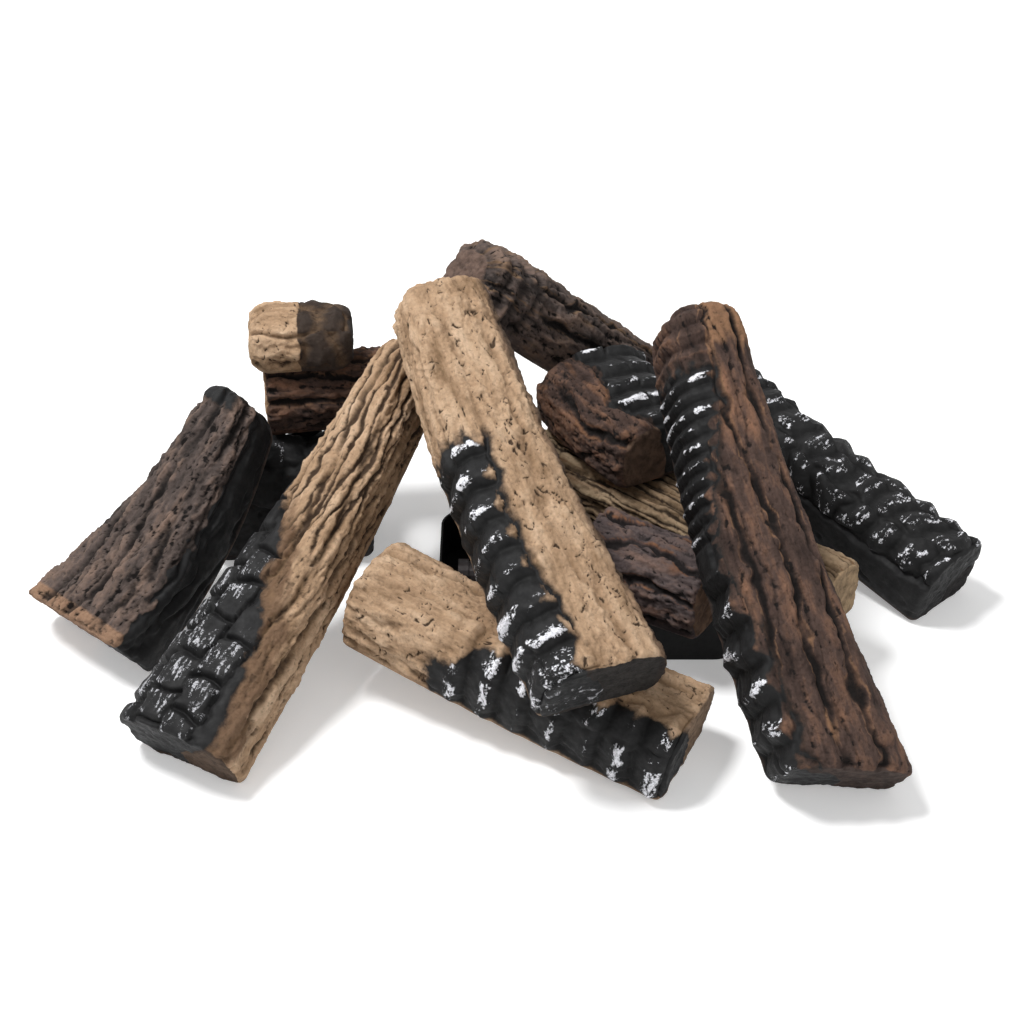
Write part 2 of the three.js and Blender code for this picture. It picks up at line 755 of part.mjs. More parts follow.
// A bracket is a plate that the tube runs through, with a foot screwed to the pan
function makeBracket(parent, name, x, material) {
  const top = tubeHeight + tubeRadius + bracketAboveTube;
  const bottom = panWall + fitGap;
  const plate = new THREE.BoxGeometry(bracketSheet, bracketWidth, top - bottom);
  const foot = new THREE.BoxGeometry(bracketFoot, bracketWidth, bracketSheet);
  let solid = movedSolid(plate, x, tubeY, (top + bottom) / 2);
  solid = solid.add(movedSolid(foot, x + bracketFoot / 2, tubeY, bottom + bracketSheet / 2));
  solid = solid.subtract(movedSolid(barAlongX(tubeRadius + fitGap, bracketFoot), x, tubeY, tubeHeight));
  for (const place of screwPlaces) {
    solid = solid.subtract(screwHole(place));
  }
  return addPiece(parent, name, solid, material);
}

function makeScrew(parent, name, place, material) {
  const seat = panWall + fitGap + bracketSheet + fitGap;
  const shank = new THREE.CylinderGeometry(screwRadius, screwRadius, seat, screwSides);
  const head = new THREE.CylinderGeometry(screwHeadRadius, screwHeadRadius, screwHeadHeight, screwSides);
  shank.rotateX(Math.PI / 2);
  head.rotateX(Math.PI / 2);
  const shankSolid = movedSolid(shank, place.x, place.y, seat / 2 + fitGap);
  const headSolid = movedSolid(head, place.x, place.y, seat + screwHeadHeight / 2);
  return addPiece(parent, name, shankSolid.add(headSolid), material);
}

// Mixer behind the pan: a sleeve on the branch with two air windows and a closed end
const mixerBore = tubeRadius + fitGap;
const mixerRadius = mixerBore + mixerWall;
const mixerStart = panBack + mixerFromPan;
const mixerEnd = mixerStart + mixerLength;
const windowY = mixerEnd - mixerWall - windowFromEnd - windowLength / 2;
const shutterBore = mixerRadius + fitGap;
const shutterRadius = shutterBore + shutterWall;

function airWindows(reach) {
  const across = new THREE.BoxGeometry(2 * reach, windowLength, windowWidth);
  return movedSolid(across, branchX, windowY, tubeHeight);
}

function makeMixer(parent, material) {
  const sleeve = barAlongY(mixerRadius, mixerLength);
  let solid = movedSolid(sleeve, branchX, (mixerStart + mixerEnd) / 2, tubeHeight);
  const boreEnd = mixerEnd - mixerWall;
  const bore = barAlongY(mixerBore, boreEnd - mixerStart + overrun);
  solid = solid.subtract(movedSolid(bore, branchX, (mixerStart - overrun + boreEnd) / 2, tubeHeight));
  solid = solid.subtract(airWindows(mixerRadius + overrun));
  const nose = barAlongY(spudNoseRadius + fitGap, spudNoseLength);
  solid = solid.subtract(movedSolid(nose, branchX, mixerEnd, tubeHeight));
  return addPiece(parent, 'mixer_tube', solid, material);
}

function makeShutter(parent, material) {
  let solid = movedSolid(barAlongY(shutterRadius, shutterLength), branchX, windowY, tubeHeight);
  const tab = new THREE.BoxGeometry(shutterTabWidth, shutterWall, shutterTabHeight + shutterWall / 2);
  const tabHeight = tubeHeight + shutterRadius + shutterTabHeight / 2 - shutterWall / 4;
  const tabY = windowY + shutterLength / 2 - shutterWall / 2;
  solid = solid.add(movedSolid(tab, branchX, tabY, tabHeight));
  const bore = barAlongY(shutterBore, shutterLength + overrun);
  solid = solid.subtract(movedSolid(bore, branchX, windowY, tubeHeight));
  solid = solid.subtract(airWindows(shutterRadius + overrun));
  return addPiece(parent, 'air_shutter', solid, material);
}

// Orifice spud, screwed into the closed end of the mixer
function makeSpud(parent, material) {
  const headStart = mixerEnd + fitGap;
  const wholeLength = spudNoseLength + spudHeadLength;
  const headY = headStart + spudHeadLength / 2;
  const noseY = headStart + spudHeadLength - wholeLength / 2 - fitGap;
  const head = movedSolid(barAlongY(spudRadius, spudHeadLength, hexSides), branchX, headY, tubeHeight);
  const nose = movedSolid(barAlongY(spudNoseRadius, wholeLength), branchX, noseY, tubeHeight);
  const bore = movedSolid(barAlongY(spudBore, 2 * wholeLength, portSides), branchX, headStart, tubeHeight);
  return addPiece(parent, 'orifice_spud', head.add(nose).subtract(bore), material);
}

// Gas inlet nipple and its flare nut behind the spud
function makeInlet(parent, material) {
  const start = mixerEnd + fitGap + spudHeadLength + fitGap;
  const nippleY = start + inletReach / 2;
  const nipple = movedSolid(barAlongY(inletRadius, inletReach), branchX, nippleY, tubeHeight);
  const bore = movedSolid(barAlongY(inletBore, inletReach + 2 * overrun), branchX, nippleY, tubeHeight);
  addPiece(parent, 'inlet_nipple', nipple.subtract(bore), material);
  const nutStart = start + inletReach - inletNutLength;
  const nutY = nutStart + inletNutLength / 2 + overrun / 2;
  const hexagon = barAlongY(inletNutRadius, inletNutLength + overrun, hexSides);
  const nutBore = barAlongY(inletRadius + fitGap, inletNutLength + 2 * overrun);
  const nut = movedSolid(hexagon, branchX, nutY, tubeHeight);
  addPiece(parent, 'inlet_nut', nut.subtract(movedSolid(nutBore, branchX, nutY, tubeHeight)), material);
}

// Ember lumps, each a broken ball that comes down on what is below it. The first share is across the pan from
// its middle. The second is the share of the room in front of the tube, or past 1 of the room behind it, and
// the third is the size.
const emberPlaceShares = [
  [-0.4, 0.35, 0.9],
  [-0.31, 0.67, 1.1],
  [-0.12, 0.42, 1],
  [-0.37, 1.6, 1],
  [0.05, 0.62, 0.85],
  [0.12, 1.63, 1.1],
  [0.3, 0.39, 1],
  [0.38, 1.55, 0.9],
];

function emberGeometry(radius, seed) {
  const geometry = new THREE.IcosahedronGeometry(radius, 1);
  geometry.deleteAttribute('normal');
  geometry.deleteAttribute('uv');
  const merged = mergeVertices(geometry);
  const places = merged.attributes.position;
  const point = new THREE.Vector3();
  for (let index = 0; index < places.count; index += 1) {
    point.fromBufferAttribute(places, index);
    point.multiplyScalar(1 - emberRoughShare * (1 - unevenness(seed, index, 1)));
    places.setXYZ(index, point.x, point.y, point.z * emberFlatShare);
  }
  return merged;
}

function makeEmbers(parent, material) {
  emberPlaceShares.forEach(([acrossShare, depthShare, sizeShare], index) => {
    const mesh = new THREE.Mesh(emberGeometry(emberRadius * sizeShare, index + 1), material);
    mesh.name = `ember_lump_${index + 1}`;
    const room = depthShare < 1 ? tubeFromFront : panDepth - tubeFromFront;
    const roomStart = depthShare < 1 ? panFront : tubeY;
    mesh.position.set(panX + acrossShare * panWidth, roomStart + (depthShare % 1) * room, 0);
    comeDown(mesh, Object.keys(placed));
    parent.add(keep(mesh));
  });
}

const group = new THREE.Group();
const blackSheet = makeMaterial(blackSteel, 0.5, 0.6);
const plainSteel = makeMaterial(brightSteel, 0.45, 0.9);
const yellowBrass = makeMaterial(brass, 0.4, 0.9);

makePan(group, blackSheet);
makeTube(group, plainSteel);
makeCap(group, 'tube_cap_left', -1, plainSteel);
makeCap(group, 'tube_cap_right', 1, plainSteel);
bracketPlaces.forEach((x, index) => makeBracket(group, `tube_bracket_${index + 1}`, x, plainSteel));
screwPlaces.forEach((place, index) => makeScrew(group, `bracket_screw_${index + 1}`, place, plainSteel));
makeMixer(group, plainSteel);
makeShutter(group, plainSteel);
makeSpud(group, yellowBrass);
makeInlet(group, yellowBrass);
makeEmbers(group, makeMaterial(blackChar, 0.95, 0));

const brown = makeMaterial(brownBark, 0.95, 0);
const tan = makeMaterial(tanBark, 0.95, 0);
const char = makeMaterial(blackChar, 0.9, 0);

// A log is placed after everything that it rests on.
group.add(makeLog('left_charred_log', char));
group.add(makeLog('pan_cross_log', tan));
group.add(makeLog('left_round_log', brown));
group.add(makeLog('short_split_log', brown));
group.add(makeLog('front_tan_log', tan, []));
group.add(makeLog('right_charred_log', char));
group.add(makeLog('back_top_log', brown, []));
group.add(makeLog('far_right_log', char, []));
group.add(makeLog('left_top_log', tan));
group.add(makeLog('left_bark_log', brown, []));
group.add(makeLog('left_tan_log', tan, []));
group.add(makeLog('centre_tan_log', tan, ['front_tan_log']));
group.add(makeLog('right_bark_log', brown, []));

// The frame's origin is under the middle of the whole set.
const extent = new THREE.Box3().setFromObject(group, true);
group.position.x = -(extent.min.x + extent.max.x) / 2;
group.position.y = -(extent.min.y + extent.max.y) / 2;
group.updateMatrixWorld(true);

export default group;
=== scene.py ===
import itertools
import json
import math

import bmesh
import bpy
import numpy as np
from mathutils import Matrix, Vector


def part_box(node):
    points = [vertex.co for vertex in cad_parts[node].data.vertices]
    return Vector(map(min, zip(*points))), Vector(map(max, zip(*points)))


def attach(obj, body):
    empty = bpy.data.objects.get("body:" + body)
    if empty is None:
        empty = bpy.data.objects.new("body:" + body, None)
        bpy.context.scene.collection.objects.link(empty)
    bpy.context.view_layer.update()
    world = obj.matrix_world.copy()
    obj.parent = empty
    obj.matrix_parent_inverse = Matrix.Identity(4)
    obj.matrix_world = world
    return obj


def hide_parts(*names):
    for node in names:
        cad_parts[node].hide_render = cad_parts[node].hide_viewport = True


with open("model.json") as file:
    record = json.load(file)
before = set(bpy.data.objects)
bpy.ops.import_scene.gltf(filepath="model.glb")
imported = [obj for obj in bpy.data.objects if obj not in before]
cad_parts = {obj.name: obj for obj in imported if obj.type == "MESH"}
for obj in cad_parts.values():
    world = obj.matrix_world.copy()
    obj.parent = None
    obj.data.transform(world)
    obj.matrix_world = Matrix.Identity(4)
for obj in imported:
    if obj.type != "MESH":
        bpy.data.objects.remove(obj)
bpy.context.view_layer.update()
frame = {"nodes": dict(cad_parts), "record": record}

MM = 0.001
FULL_TURN = 2 * math.pi

# Mesh step on the logs, and the most that relief stands proud of the plain section, in millimetres.
MESH_STEP = 1.0
TALLEST_RELIEF = 3.4

# How far the set is shifted from the plan in which the log places are given, in millimetres.
SET_SHIFT = (0.06, -53.75)

# Each log: the place of its foot end, its heading and pitch in degrees, and its size in millimetres.
# foot and head are the widths of its ends, thick is its thickness, and bow how far its middle bends
# sideways. flat is how far down the flat underside lies, as a share of the half thickness, and square
# how boxy the section is. rounds is how far the two ends are rounded, ridges how many ridges the bark
# has, seed starts the noise, and foot_slant is the angle at which the foot end is cut. The heights and
# pitches are those at which each log rests on what carries it.
LOGS = {
    "left_bark_log": dict(
        place=(-317, -30, 19.42), heading=50, pitch=34.16, length=210, foot=118, head=44,
        thick=62, bow=-14, flat=0.7, square=0.5, rounds=(5, 14), ridges=6, seed=3,
    ),
    "left_tan_log": dict(
        place=(-230, -160, 20.55), heading=61, pitch=24.15, length=356, foot=96, head=46,
        thick=60, bow=-5, flat=0.7, square=0.4, rounds=(5, 20), ridges=6, seed=11,
    ),
    "left_round_log": dict(
        place=(-195, 138, 123.04), heading=8, pitch=0, length=192, foot=62, head=58,
        thick=60, bow=2, flat=0.95, square=0.1, rounds=(4, 6), ridges=6, seed=17,
    ),
    "left_top_log": dict(
        place=(-204, 138, 173.71), heading=6, pitch=0, length=80, foot=58, head=60,
        thick=44, bow=2, flat=0.8, square=0.3, rounds=(17, 15), ridges=4, seed=23,
    ),
    "left_charred_log": dict(
        place=(-238, 110, 42.43), heading=2, pitch=0, length=126, foot=80, head=78,
        thick=96, bow=3, flat=0.8, square=0.4, rounds=(9, 9), ridges=5, seed=29,
    ),
    "centre_tan_log": dict(
        place=(61, -172, 89.63), heading=112, pitch=22.75, length=340, foot=94, head=70,
        thick=58, bow=8, flat=0.7, square=0.6, rounds=(4, 14), ridges=5, seed=31,
    ),
    "front_tan_log": dict(
        place=(122, -157, 23.51), heading=153.8, pitch=10.64, length=258, foot=86, head=80,
        thick=60, bow=4, flat=0.7, square=0.6, rounds=(4, 9), ridges=5, seed=37,
    ),
    "back_top_log": dict(
        place=(142, 284, 18.39), heading=212, pitch=42.47, length=290, foot=72, head=66,
        thick=64, bow=6, flat=0.8, square=0.3, rounds=(6, 22), ridges=6, seed=41,
    ),
    "right_charred_log": dict(
        place=(117, 62, 117.84), heading=118, pitch=0, length=120, foot=84, head=100,
        thick=56, bow=4, flat=0.7, square=0.4, rounds=(8, 10), ridges=5, seed=43,
    ),
    "pan_cross_log": dict(
        place=(240, -46, 64.22), heading=139, pitch=0, length=284, foot=52, head=74,
        thick=54, bow=2, flat=0.8, square=0.3, rounds=(5, 8), ridges=6, seed=47,
    ),
    "short_split_log": dict(
        place=(146, -48, 68.52), heading=148, pitch=0, length=102, foot=62, head=66,
        thick=62, bow=1, flat=0.85, square=0.3, rounds=(5, 8), ridges=5, seed=53,
    ),
    "right_bark_log": dict(
        place=(224, -190, 22.59), heading=108.6, pitch=34.89, length=356, foot=94, head=60,
        thick=62, bow=9, flat=0.7, square=0.6, rounds=(9, 22), ridges=6, seed=59, foot_slant=16,
    ),
    "far_right_log": dict(
        place=(337, 21, 25.02), heading=133, pitch=13.4, length=300, foot=72, head=60,
        thick=66, bow=6, flat=0.7, square=0.5, rounds=(6, 12), ridges=5, seed=61,
    ),
}

# Crests of the char and knuckles of the heads: pitch and height in millimetres, rise and fall as shares
# of the pitch, whether the crests of neighbouring ridges are staggered, and how far the spacing strays.
CRESTS = {
    "scallops": dict(pitch=26, height=7, rise=0.3, fall=0.7, staggered=False, loose=0.13),
    "knobs": dict(pitch=29, height=8, rise=0.4, fall=0.6, staggered=False, loose=0.13),
    "rungs": dict(pitch=12, height=4, rise=0.5, fall=0.5, staggered=False, loose=0.13),
    "plates": dict(pitch=30, height=6.5, rise=0.13, fall=0.13, staggered=True, loose=0.2),
    "blobs": dict(pitch=27, height=6, rise=0.5, fall=0.5, staggered=True, loose=0.36),
    "rocks": dict(pitch=38, height=9, rise=0.5, fall=0.5, staggered=True, loose=0.13),
    "knuckles": dict(pitch=16, height=5.5, rise=0.5, fall=0.5, staggered=False, loose=0.13),
}

# Where crests take the bark's place: kind, from and up to which ridge, and shares of the length.
BANDS = {
    "left_tan_log": [
        ("plates", 0, 1, 0, 0.64), ("plates", 1, 2, 0, 0.56),
        ("plates", 2, 3, 0, 0.44), ("plates", 3, 4, 0, 0.3),
    ],
    "left_top_log": [("blobs", 0, 4, 0.5, 1)],
    "left_charred_log": [("rocks", 0, 5, 0, 1)],
    "centre_tan_log": [("scallops", 0, 2, 0, 0.56)],
    "front_tan_log": [("scallops", 0, 2, 0, 0.68)],
    "back_top_log": [("knuckles", 0, 4, 0.8, 1)],
    "right_charred_log": [("scallops", 2, 5, 0, 1)],
    "right_bark_log": [
        ("knobs", 0, 2, 0, 0.45), ("rungs", 0, 3, 0.5, 0.85), ("knuckles", 0, 3, 0.86, 1),
    ],
    "far_right_log": [("blobs", 1, 4, 0, 1)],
}

# Where the bark begins and ends, how far its grooves wander and half their breadth, in degrees round
# the section from the log's left side over its top. WANDER_TURNS is how often they sway along it, and
# GROOVE_DEPTH is in millimetres.
BARK_START = -20
BARK_END = 200
BARK_WANDER = 9
GROOVE_HALF = 8
WANDER_TURNS = 1.3
GROOVE_DEPTH = 5.0

# Smaller grooves, in millimetres: how far round from the top they lie, and how slowly they fade out.
SKIN_REACH = 150
GROOVE_FADE = 14

# Between which values of their noise the flakes step up.
FLAKE_STEPS = ((0.0, 0.07), (0.28, 0.34), (-0.3, -0.24))

# The finish of the metal pieces: colour, roughness, how metallic, and the scale of its clouding.
FINISHES = {
    # The pan's black paint, darkened further to paint the deep shade that lies under the logs.
    "black_steel": dict(colour=(0.004, 0.004, 0.0042), roughness=0.55, metallic=0.0, scale=60),
    "burnt_steel": dict(colour=(0.045, 0.04, 0.04), roughness=0.55, metallic=0.8, scale=70),
    "bare_steel": dict(colour=(0.35, 0.35, 0.36), roughness=0.4, metallic=0.9, scale=80),
    "brass": dict(colour=(0.6, 0.42, 0.18), roughness=0.3, metallic=1.0, scale=90),
}

# The camera's place in the plan of the logs in metres, its tilt in degrees, and its sensor and lens
# in millimetres.
CAMERA_PLACE = (0, -1.0922, 0.9035)
CAMERA_TILT = 54
CAMERA_SENSOR = 36
CAMERA_LENS = 64.55

# Each lamp's place and size in metres, and its power in watts. All of them aim at the set's middle.
LAMPS = {
    "key_lamp": dict(place=(-0.9, -0.1, 2.3), size=0.7, power=62),
    "fill_lamp": dict(place=(0.9, -1.6, 1.6), size=1.6, power=7),
}

# How strongly the world lights the set, how much brighter the floor looks than it is lit, and in
# metres how far the floor reaches and how little it lies below the set.
WORLD_LIGHT = 0.45
FLOOR_LIFT = 0.3
FLOOR_REACH = 8
FLOOR_BELOW = 0.0006


# Noise on arrays of points. The large odd factors scramble the number of a cell into a code.
CELL_FACTORS = (374761393, 668265263, 1440662683)
SEED_FACTOR = 974634777
SCRAMBLES = ((13, 1274126177), (15, 2246822519))
TEN_BITS = 1023


def hashed(ix, iy, iz, seed):
    """A scrambled 32 bit code for each cell."""
    value = np.uint32((seed * SEED_FACTOR) % 2**32)
    for number, factor in zip((ix, iy, iz), CELL_FACTORS):
        value = value + number.astype(np.uint32) * np.uint32(factor)
    for shift, factor in SCRAMBLES:
        value = (value ^ (value >> np.uint32(shift))) * np.uint32(factor)
    return value ^ (value >> np.uint32(16))


def three_numbers(code):
    """Three numbers from 0 to TEN_BITS out of each code."""
    parts = [(code >> np.uint32(shift)) & np.uint32(TEN_BITS) for shift in (0, 10, 20)]
    return np.stack(parts, axis=1).astype(float)


def noise(points, seed):
    """Smooth noise, about -1 to 1."""
    base = np.floor(points).astype(np.int64)
    offset = points - base
    fade = offset**3 * (offset * (offset * 6 - 15) + 10)
    total = np.zeros(len(points))
    for corner in range(8):
        step = np.array([corner & 1, (corner >> 1) & 1, (corner >> 2) & 1])
        cell = base + step
        slope = three_numbers(hashed(*cell.T, seed)) / (TEN_BITS / 2) - 1
        weight = np.prod(np.where(step == 1, fade, 1 - fade), axis=1)
        total += weight * np.sum(slope * (offset - step), axis=1)
    return total * 1.4


def layered(points, seed, layers=3, fall=0.5):
    """Noise of several sizes, each half as large as the one before and fainter by the fall."""
    total = np.zeros(len(points))
    size = 1.0
    for layer in range(layers):
        total += size * noise(points * 2**layer, seed + 7 * layer)
        size *= fall
    return total


def cells(points, seed):
    """Distances to the nearest two cell middles, and a code from 0 to 1 for the nearest one."""
    base = np.floor(points).astype(np.int64)
    nearest = np.full(len(points), 9.0)
    second = np.full(len(points), 9.0)
    owner = np.zeros(len(points))
    for neighbour in itertools.product((-1, 0, 1), repeat=3):
        cell = base + np.array(neighbour)
        code = hashed(*cell.T, seed)
        middle = cell + 0.15 + 0.7 * three_numbers(code) / TEN_BITS
        apart = np.sqrt(np.sum((points - middle) ** 2, axis=1))
        closer = apart < nearest
        second = np.where(closer, nearest, np.minimum(second, apart))
        owner = np.where(closer, (code % np.uint32(997)) / 997.0, owner)
        nearest = np.where(closer, apart, nearest)
    return nearest, second, owner


def eased(low, high, value):
    """A smooth step from 0 at low to 1 at high, which falls instead where low is above high."""
    share = np.clip((value - low) / (high - low), 0, 1)
    return share * share * (3 - 2 * share)


# Log bodies
def section_radius(half_width, half_thick, flat, square, angle):
    """The radius of a log's section at each angle: a rounded box with a flat underside."""
    power = 2 + 2 * square
    across = np.abs(np.cos(angle) / half_width) ** power
    upward = np.abs(np.sin(angle) / half_thick) ** power
    crown = (across + upward) ** (-1 / power)
    fall = np.maximum(-np.sin(angle), 1e-6)
    cut = flat * half_thick / fall
    sharp = 12
    return (crown**-sharp + cut**-sharp) ** (-1 / sharp)


def end_rings(least, reach, step):
    """Rings of one end from its middle out: distance along, share out, share turned and end mark."""
    flat_rings = max(4, int((least - reach) / step))
    turn_rings = max(4, int(1.6 * reach / step))
    rings = [(0.0, ring / flat_rings, 0.0, 1.0) for ring in range(1, flat_rings)]
    for ring in range(turn_rings):
        turn = (ring / turn_rings) * math.pi / 2
        rings.append((reach * (1 - math.cos(turn)), 1.0, math.sin(turn), 1 - math.sin(turn)))
    return rings


def log_rings(spec, step):
    """Rings of a log from foot to head, and the rows that are its body."""
    length = spec["length"]
    foot_round, head_round = spec["rounds"]
    least = min(spec["foot"], spec["head"], spec["thick"]) / 2
    foot_rings = end_rings(least, foot_round, step)
    head_rings = reversed(end_rings(least, head_round, step))
    head_rings = [(length - along, out, turn, end) for along, out, turn, end in head_rings]
    straight = length - foot_round - head_round
    middle = int(straight / step)
    body = [(foot_round + straight * k / middle, 1.0, 1.0, 0.0) for k in range(middle + 1)]
    body_rows = (len(foot_rings), len(foot_rings) + len(body))
    return np.array(foot_rings + body + head_rings), body_rows


def log_grid(spec, step):
    """Points of a log on rings from foot to head, with end marks, half widths and the body's rows."""
    ring, body_rows = log_rings(spec, step)
    along, share_out, share_turned, end_mark = (ring[:, column][:, None] for column in range(4))
    around = 4 * int(0.75 * (spec["foot"] + spec["head"]) / 2 / step)
    angle = (np.arange(around) / around * FULL_TURN)[None, :]
    share = along / spec["length"]
    half_width = (spec["foot"] + (spec["head"] - spec["foot"]) * share) / 2
    half_thick = spec["thick"] / (1 + spec["flat"])
    radius = section_radius(half_width, half_thick, spec["flat"], spec["square"], angle)
    foot_round, head_round = spec["rounds"]
    reach = np.where(share < 0.5, foot_round, head_round)
    radius = np.where(end_mark > 0, (radius - reach) * share_out + reach * share_turned, radius)
    across = radius * np.cos(angle)
    upward = radius * np.sin(angle)
    slant = (1 - share) * math.tan(math.radians(spec.get("foot_slant", 0)))
    x = along + across * slant
    y = across + spec["bow"] * np.sin(np.pi * share)
    points = np.stack(np.broadcast_arrays(x, y, upward), axis=2)
    return points, np.broadcast_to(end_mark, points.shape[:2]), half_width, body_rows


def outward(points):
    """The direction straight out of the skin at each point."""
    down = np.gradient(points, axis=0)
    over = np.roll(points, -1, axis=1) - np.roll(points, 1, axis=1)
    normal = np.cross(over, down)
    size = np.linalg.norm(normal, axis=2, keepdims=True)
    return normal / np.maximum(size, 1e-9)


def store_marks(mesh, marks, rows, around):
    """Stores numbers and vectors on the mesh. The middle of each end gets the mean of its ring."""
    for key, values in marks.items():
        wide = values.shape[-1] == 3
        grid = values.reshape(rows, around, -1)
        ends = [grid[0].mean(axis=0), grid[-1].mean(axis=0)]
        full = np.vstack([values.reshape(rows * around, -1), *ends])
        layer = mesh.attributes.new(key, "FLOAT_VECTOR" if wide else "FLOAT", "POINT")
        layer.data.foreach_set("vector" if wide else "value", full.astype(np.float32).reshape(-1))


def grid_mesh(name, points, marks):
    """A closed mesh from rings of points, with one more point in the middle of each end."""
    rows, around = points.shape[:2]
    ends = [points[0].mean(axis=0), points[-1].mean(axis=0)]
    everything = np.vstack([points.reshape(-1, 3), *ends]) * MM
    index = np.arange(rows * around).reshape(rows, around)
    after = np.roll(index, -1, axis=1)
    quads = np.stack([index[:-1], index[1:], after[1:], after[:-1]], axis=2).reshape(-1, 4)
    foot_fan = np.stack([index[0], after[0], np.full(around, rows * around)], axis=1)
    head_fan = np.stack([after[-1], index[-1], np.full(around, rows * around + 1)], axis=1)
    faces = [*quads.tolist(), *foot_fan.tolist(), *head_fan.tolist()]
    mesh = bpy.data.meshes.new(name)
    mesh.from_pydata(everything.tolist(), [], faces, shade_flat=False)
    store_marks(mesh, marks, rows, around)
    mesh.validate()
    return mesh


# Reliefs. Each takes the places on a log and returns heights in millimetres and marks from 0 to 1. The
# second mark of each bark is painted shade, which darkens its pits, cracks and small grooves.
class Places:
    """Points of a log's skin: x along it, s round it from the top (plus to the left), and p in space.

    under and side say how much a point lies on the underside or low on a side, cut how deep in a main
    groove, chips how much is chipped off there, and end_face how much it belongs to an end.
    """

    def __init__(self, name, p, s, angle, half_width, end_mark):
        spec = LOGS[name]
        self.name = name
        self.p = p
        self.x = p[:, 0]
        self.s = s
        self.length = spec["length"]
        self.seed = spec["seed"]
        self.share = self.x / spec["length"]
        bow = spec["bow"] * np.sin(np.pi * np.clip(self.share, 0, 1))
        self.across = (p[:, 1] - bow) / half_width
        lower = p[:, 2] / (spec["thick"] / 2)
        self.under = eased(-0.5, -0.72, lower)
        self.side = eased(-0.05, -0.35, lower) * (1 - self.under)
        self.swirl = np.stack([layered(p / 17, self.seed + 31 + k, 2) for k in range(3)], axis=1)
        self.angle = angle + 5.5 * self.swirl[:, 0] + 2.0 * noise(p / 6, self.seed + 40)
        self.chips = eased(0.05, 0.45, layered(p / [17, 10, 10], self.seed + 33, 2))
        self.end_face = eased(0.35, 0.9, end_mark)
        self.find_grooves(spec["ridges"])

    def noise(self, size, seed, swirl=0):
        """Noise in spots of this size, in millimetres along, across and up the log."""
        return noise((self.p + swirl * self.swirl) / size, self.seed + seed)

    def layered(self, size, seed, layers, fall=0.5, swirl=0):
        return layered((self.p + swirl * self.swirl) / size, self.seed + seed, layers, fall)

    def find_grooves(self, ridges):
        """The ridge that each point lies on, and how deep it is in the nearest groove."""
        self.grooves = []
        self.ridge = np.zeros(len(self.x), int)
        self.cut = np.zeros(len(self.x))
        for groove in range(1, ridges):
            turn = groove / ridges
            wave = self.share * WANDER_TURNS + self.seed / 3
            sway = math.sin(math.pi * turn) * np.sin(FULL_TURN * wave)
            middle = BARK_START + (BARK_END - BARK_START) * turn + BARK_WANDER * sway
            self.grooves.append(middle)
            self.ridge += self.angle > middle
            spots = np.stack([self.x / 34, np.full_like(self.x, groove * 3.7), 0 * self.x], axis=1)
            breadth = GROOVE_HALF * (0.85 + 0.35 * noise(spots, self.seed + 60))
            deep = eased(-0.6, 0.25, noise(spots * 0.8, self.seed + 61))
            away = np.abs(self.angle - middle) / breadth
            self.cut = np.maximum(self.cut, (0.25 + 0.75 * deep) * eased(1.15, 0.05, away))


def crest_marks(at, kind):
    """How high up a crest each point is, and a code from 0 to 1 for each crest."""
    crest = CRESTS[kind]
    wobble = crest["loose"] * at.noise([40, 22, 22], 41) + 0.06 * at.swirl[:, 1]
    shift = 0.5 * (at.ridge % 2) if crest["staggered"] else 0
    phase = at.x / crest["pitch"] + shift + wobble
    part = phase - np.floor(phase)
    raised = np.minimum(1, np.minimum(part / crest["rise"], (1 - part) / crest["fall"]))
    number = np.floor(phase) * 7 + at.ridge
    code = hashed(number.astype(np.int64), at.ridge, at.ridge, at.seed)
    return raised, (code % np.uint32(1000)) / 1000.0


def band_relief(at):
    """How much of each point is crests, their relief, how high up a crest it is, and its code."""
    cover, relief, raised, codes = np.zeros((4, len(at.x)))
    for kind, first, end, start, stop in BANDS.get(at.name, []):
        here = ((at.ridge >= first) & (at.ridge < end)).astype(float)
        if start > 0:
            here = here * eased(start * at.length - 3, start * at.length + 5, at.x)
        if stop < 1:
            here = here * eased(stop * at.length + 3, stop * at.length - 5, at.x)
        if kind in ("rungs", "knobs"):
            here = here * eased(7, -7, at.angle - char_edge(at))
        height = CRESTS[kind]["height"]
        crest, code = crest_marks(at, kind)
        bridge = 0.0 if CRESTS[kind]["staggered"] else 0.65
        bridged = bridge * eased(-0.3, 0.2, at.noise([30, 60, 60], 43))
        lane = eased(0.6 if kind == "plates" else 0.35, 0.95, at.cut) * (1 - bridged)
        chipped = 0.12 * at.layered([9, 9, 9], 44, 2)
        rounded = np.clip(crest + chipped, 0, 1) ** 0.8 * (0.78 + 0.32 * code)
        shape = (1 - lane) * height * (rounded - 0.7) - lane * 0.5 * height
        relief = np.where(here > cover, shape, relief)
        raised = np.where(here > cover, np.clip(rounded, 0, 1.1) * (1 - lane), raised)
        codes = np.where(here > cover, code, codes)
        cover = np.maximum(cover, here)
    return cover, relief, raised, codes


def wander(x, rng, reach, waves):
    """A sum of slow waves along the log. Each has its length and its share of the reach."""
    total = np.zeros_like(x)
    for wave, share in waves:
        pace = FULL_TURN / (wave * rng.uniform(0.85, 1.2))
        total += reach * share * np.sin(pace * x + rng.uniform(0, FULL_TURN))
    return total


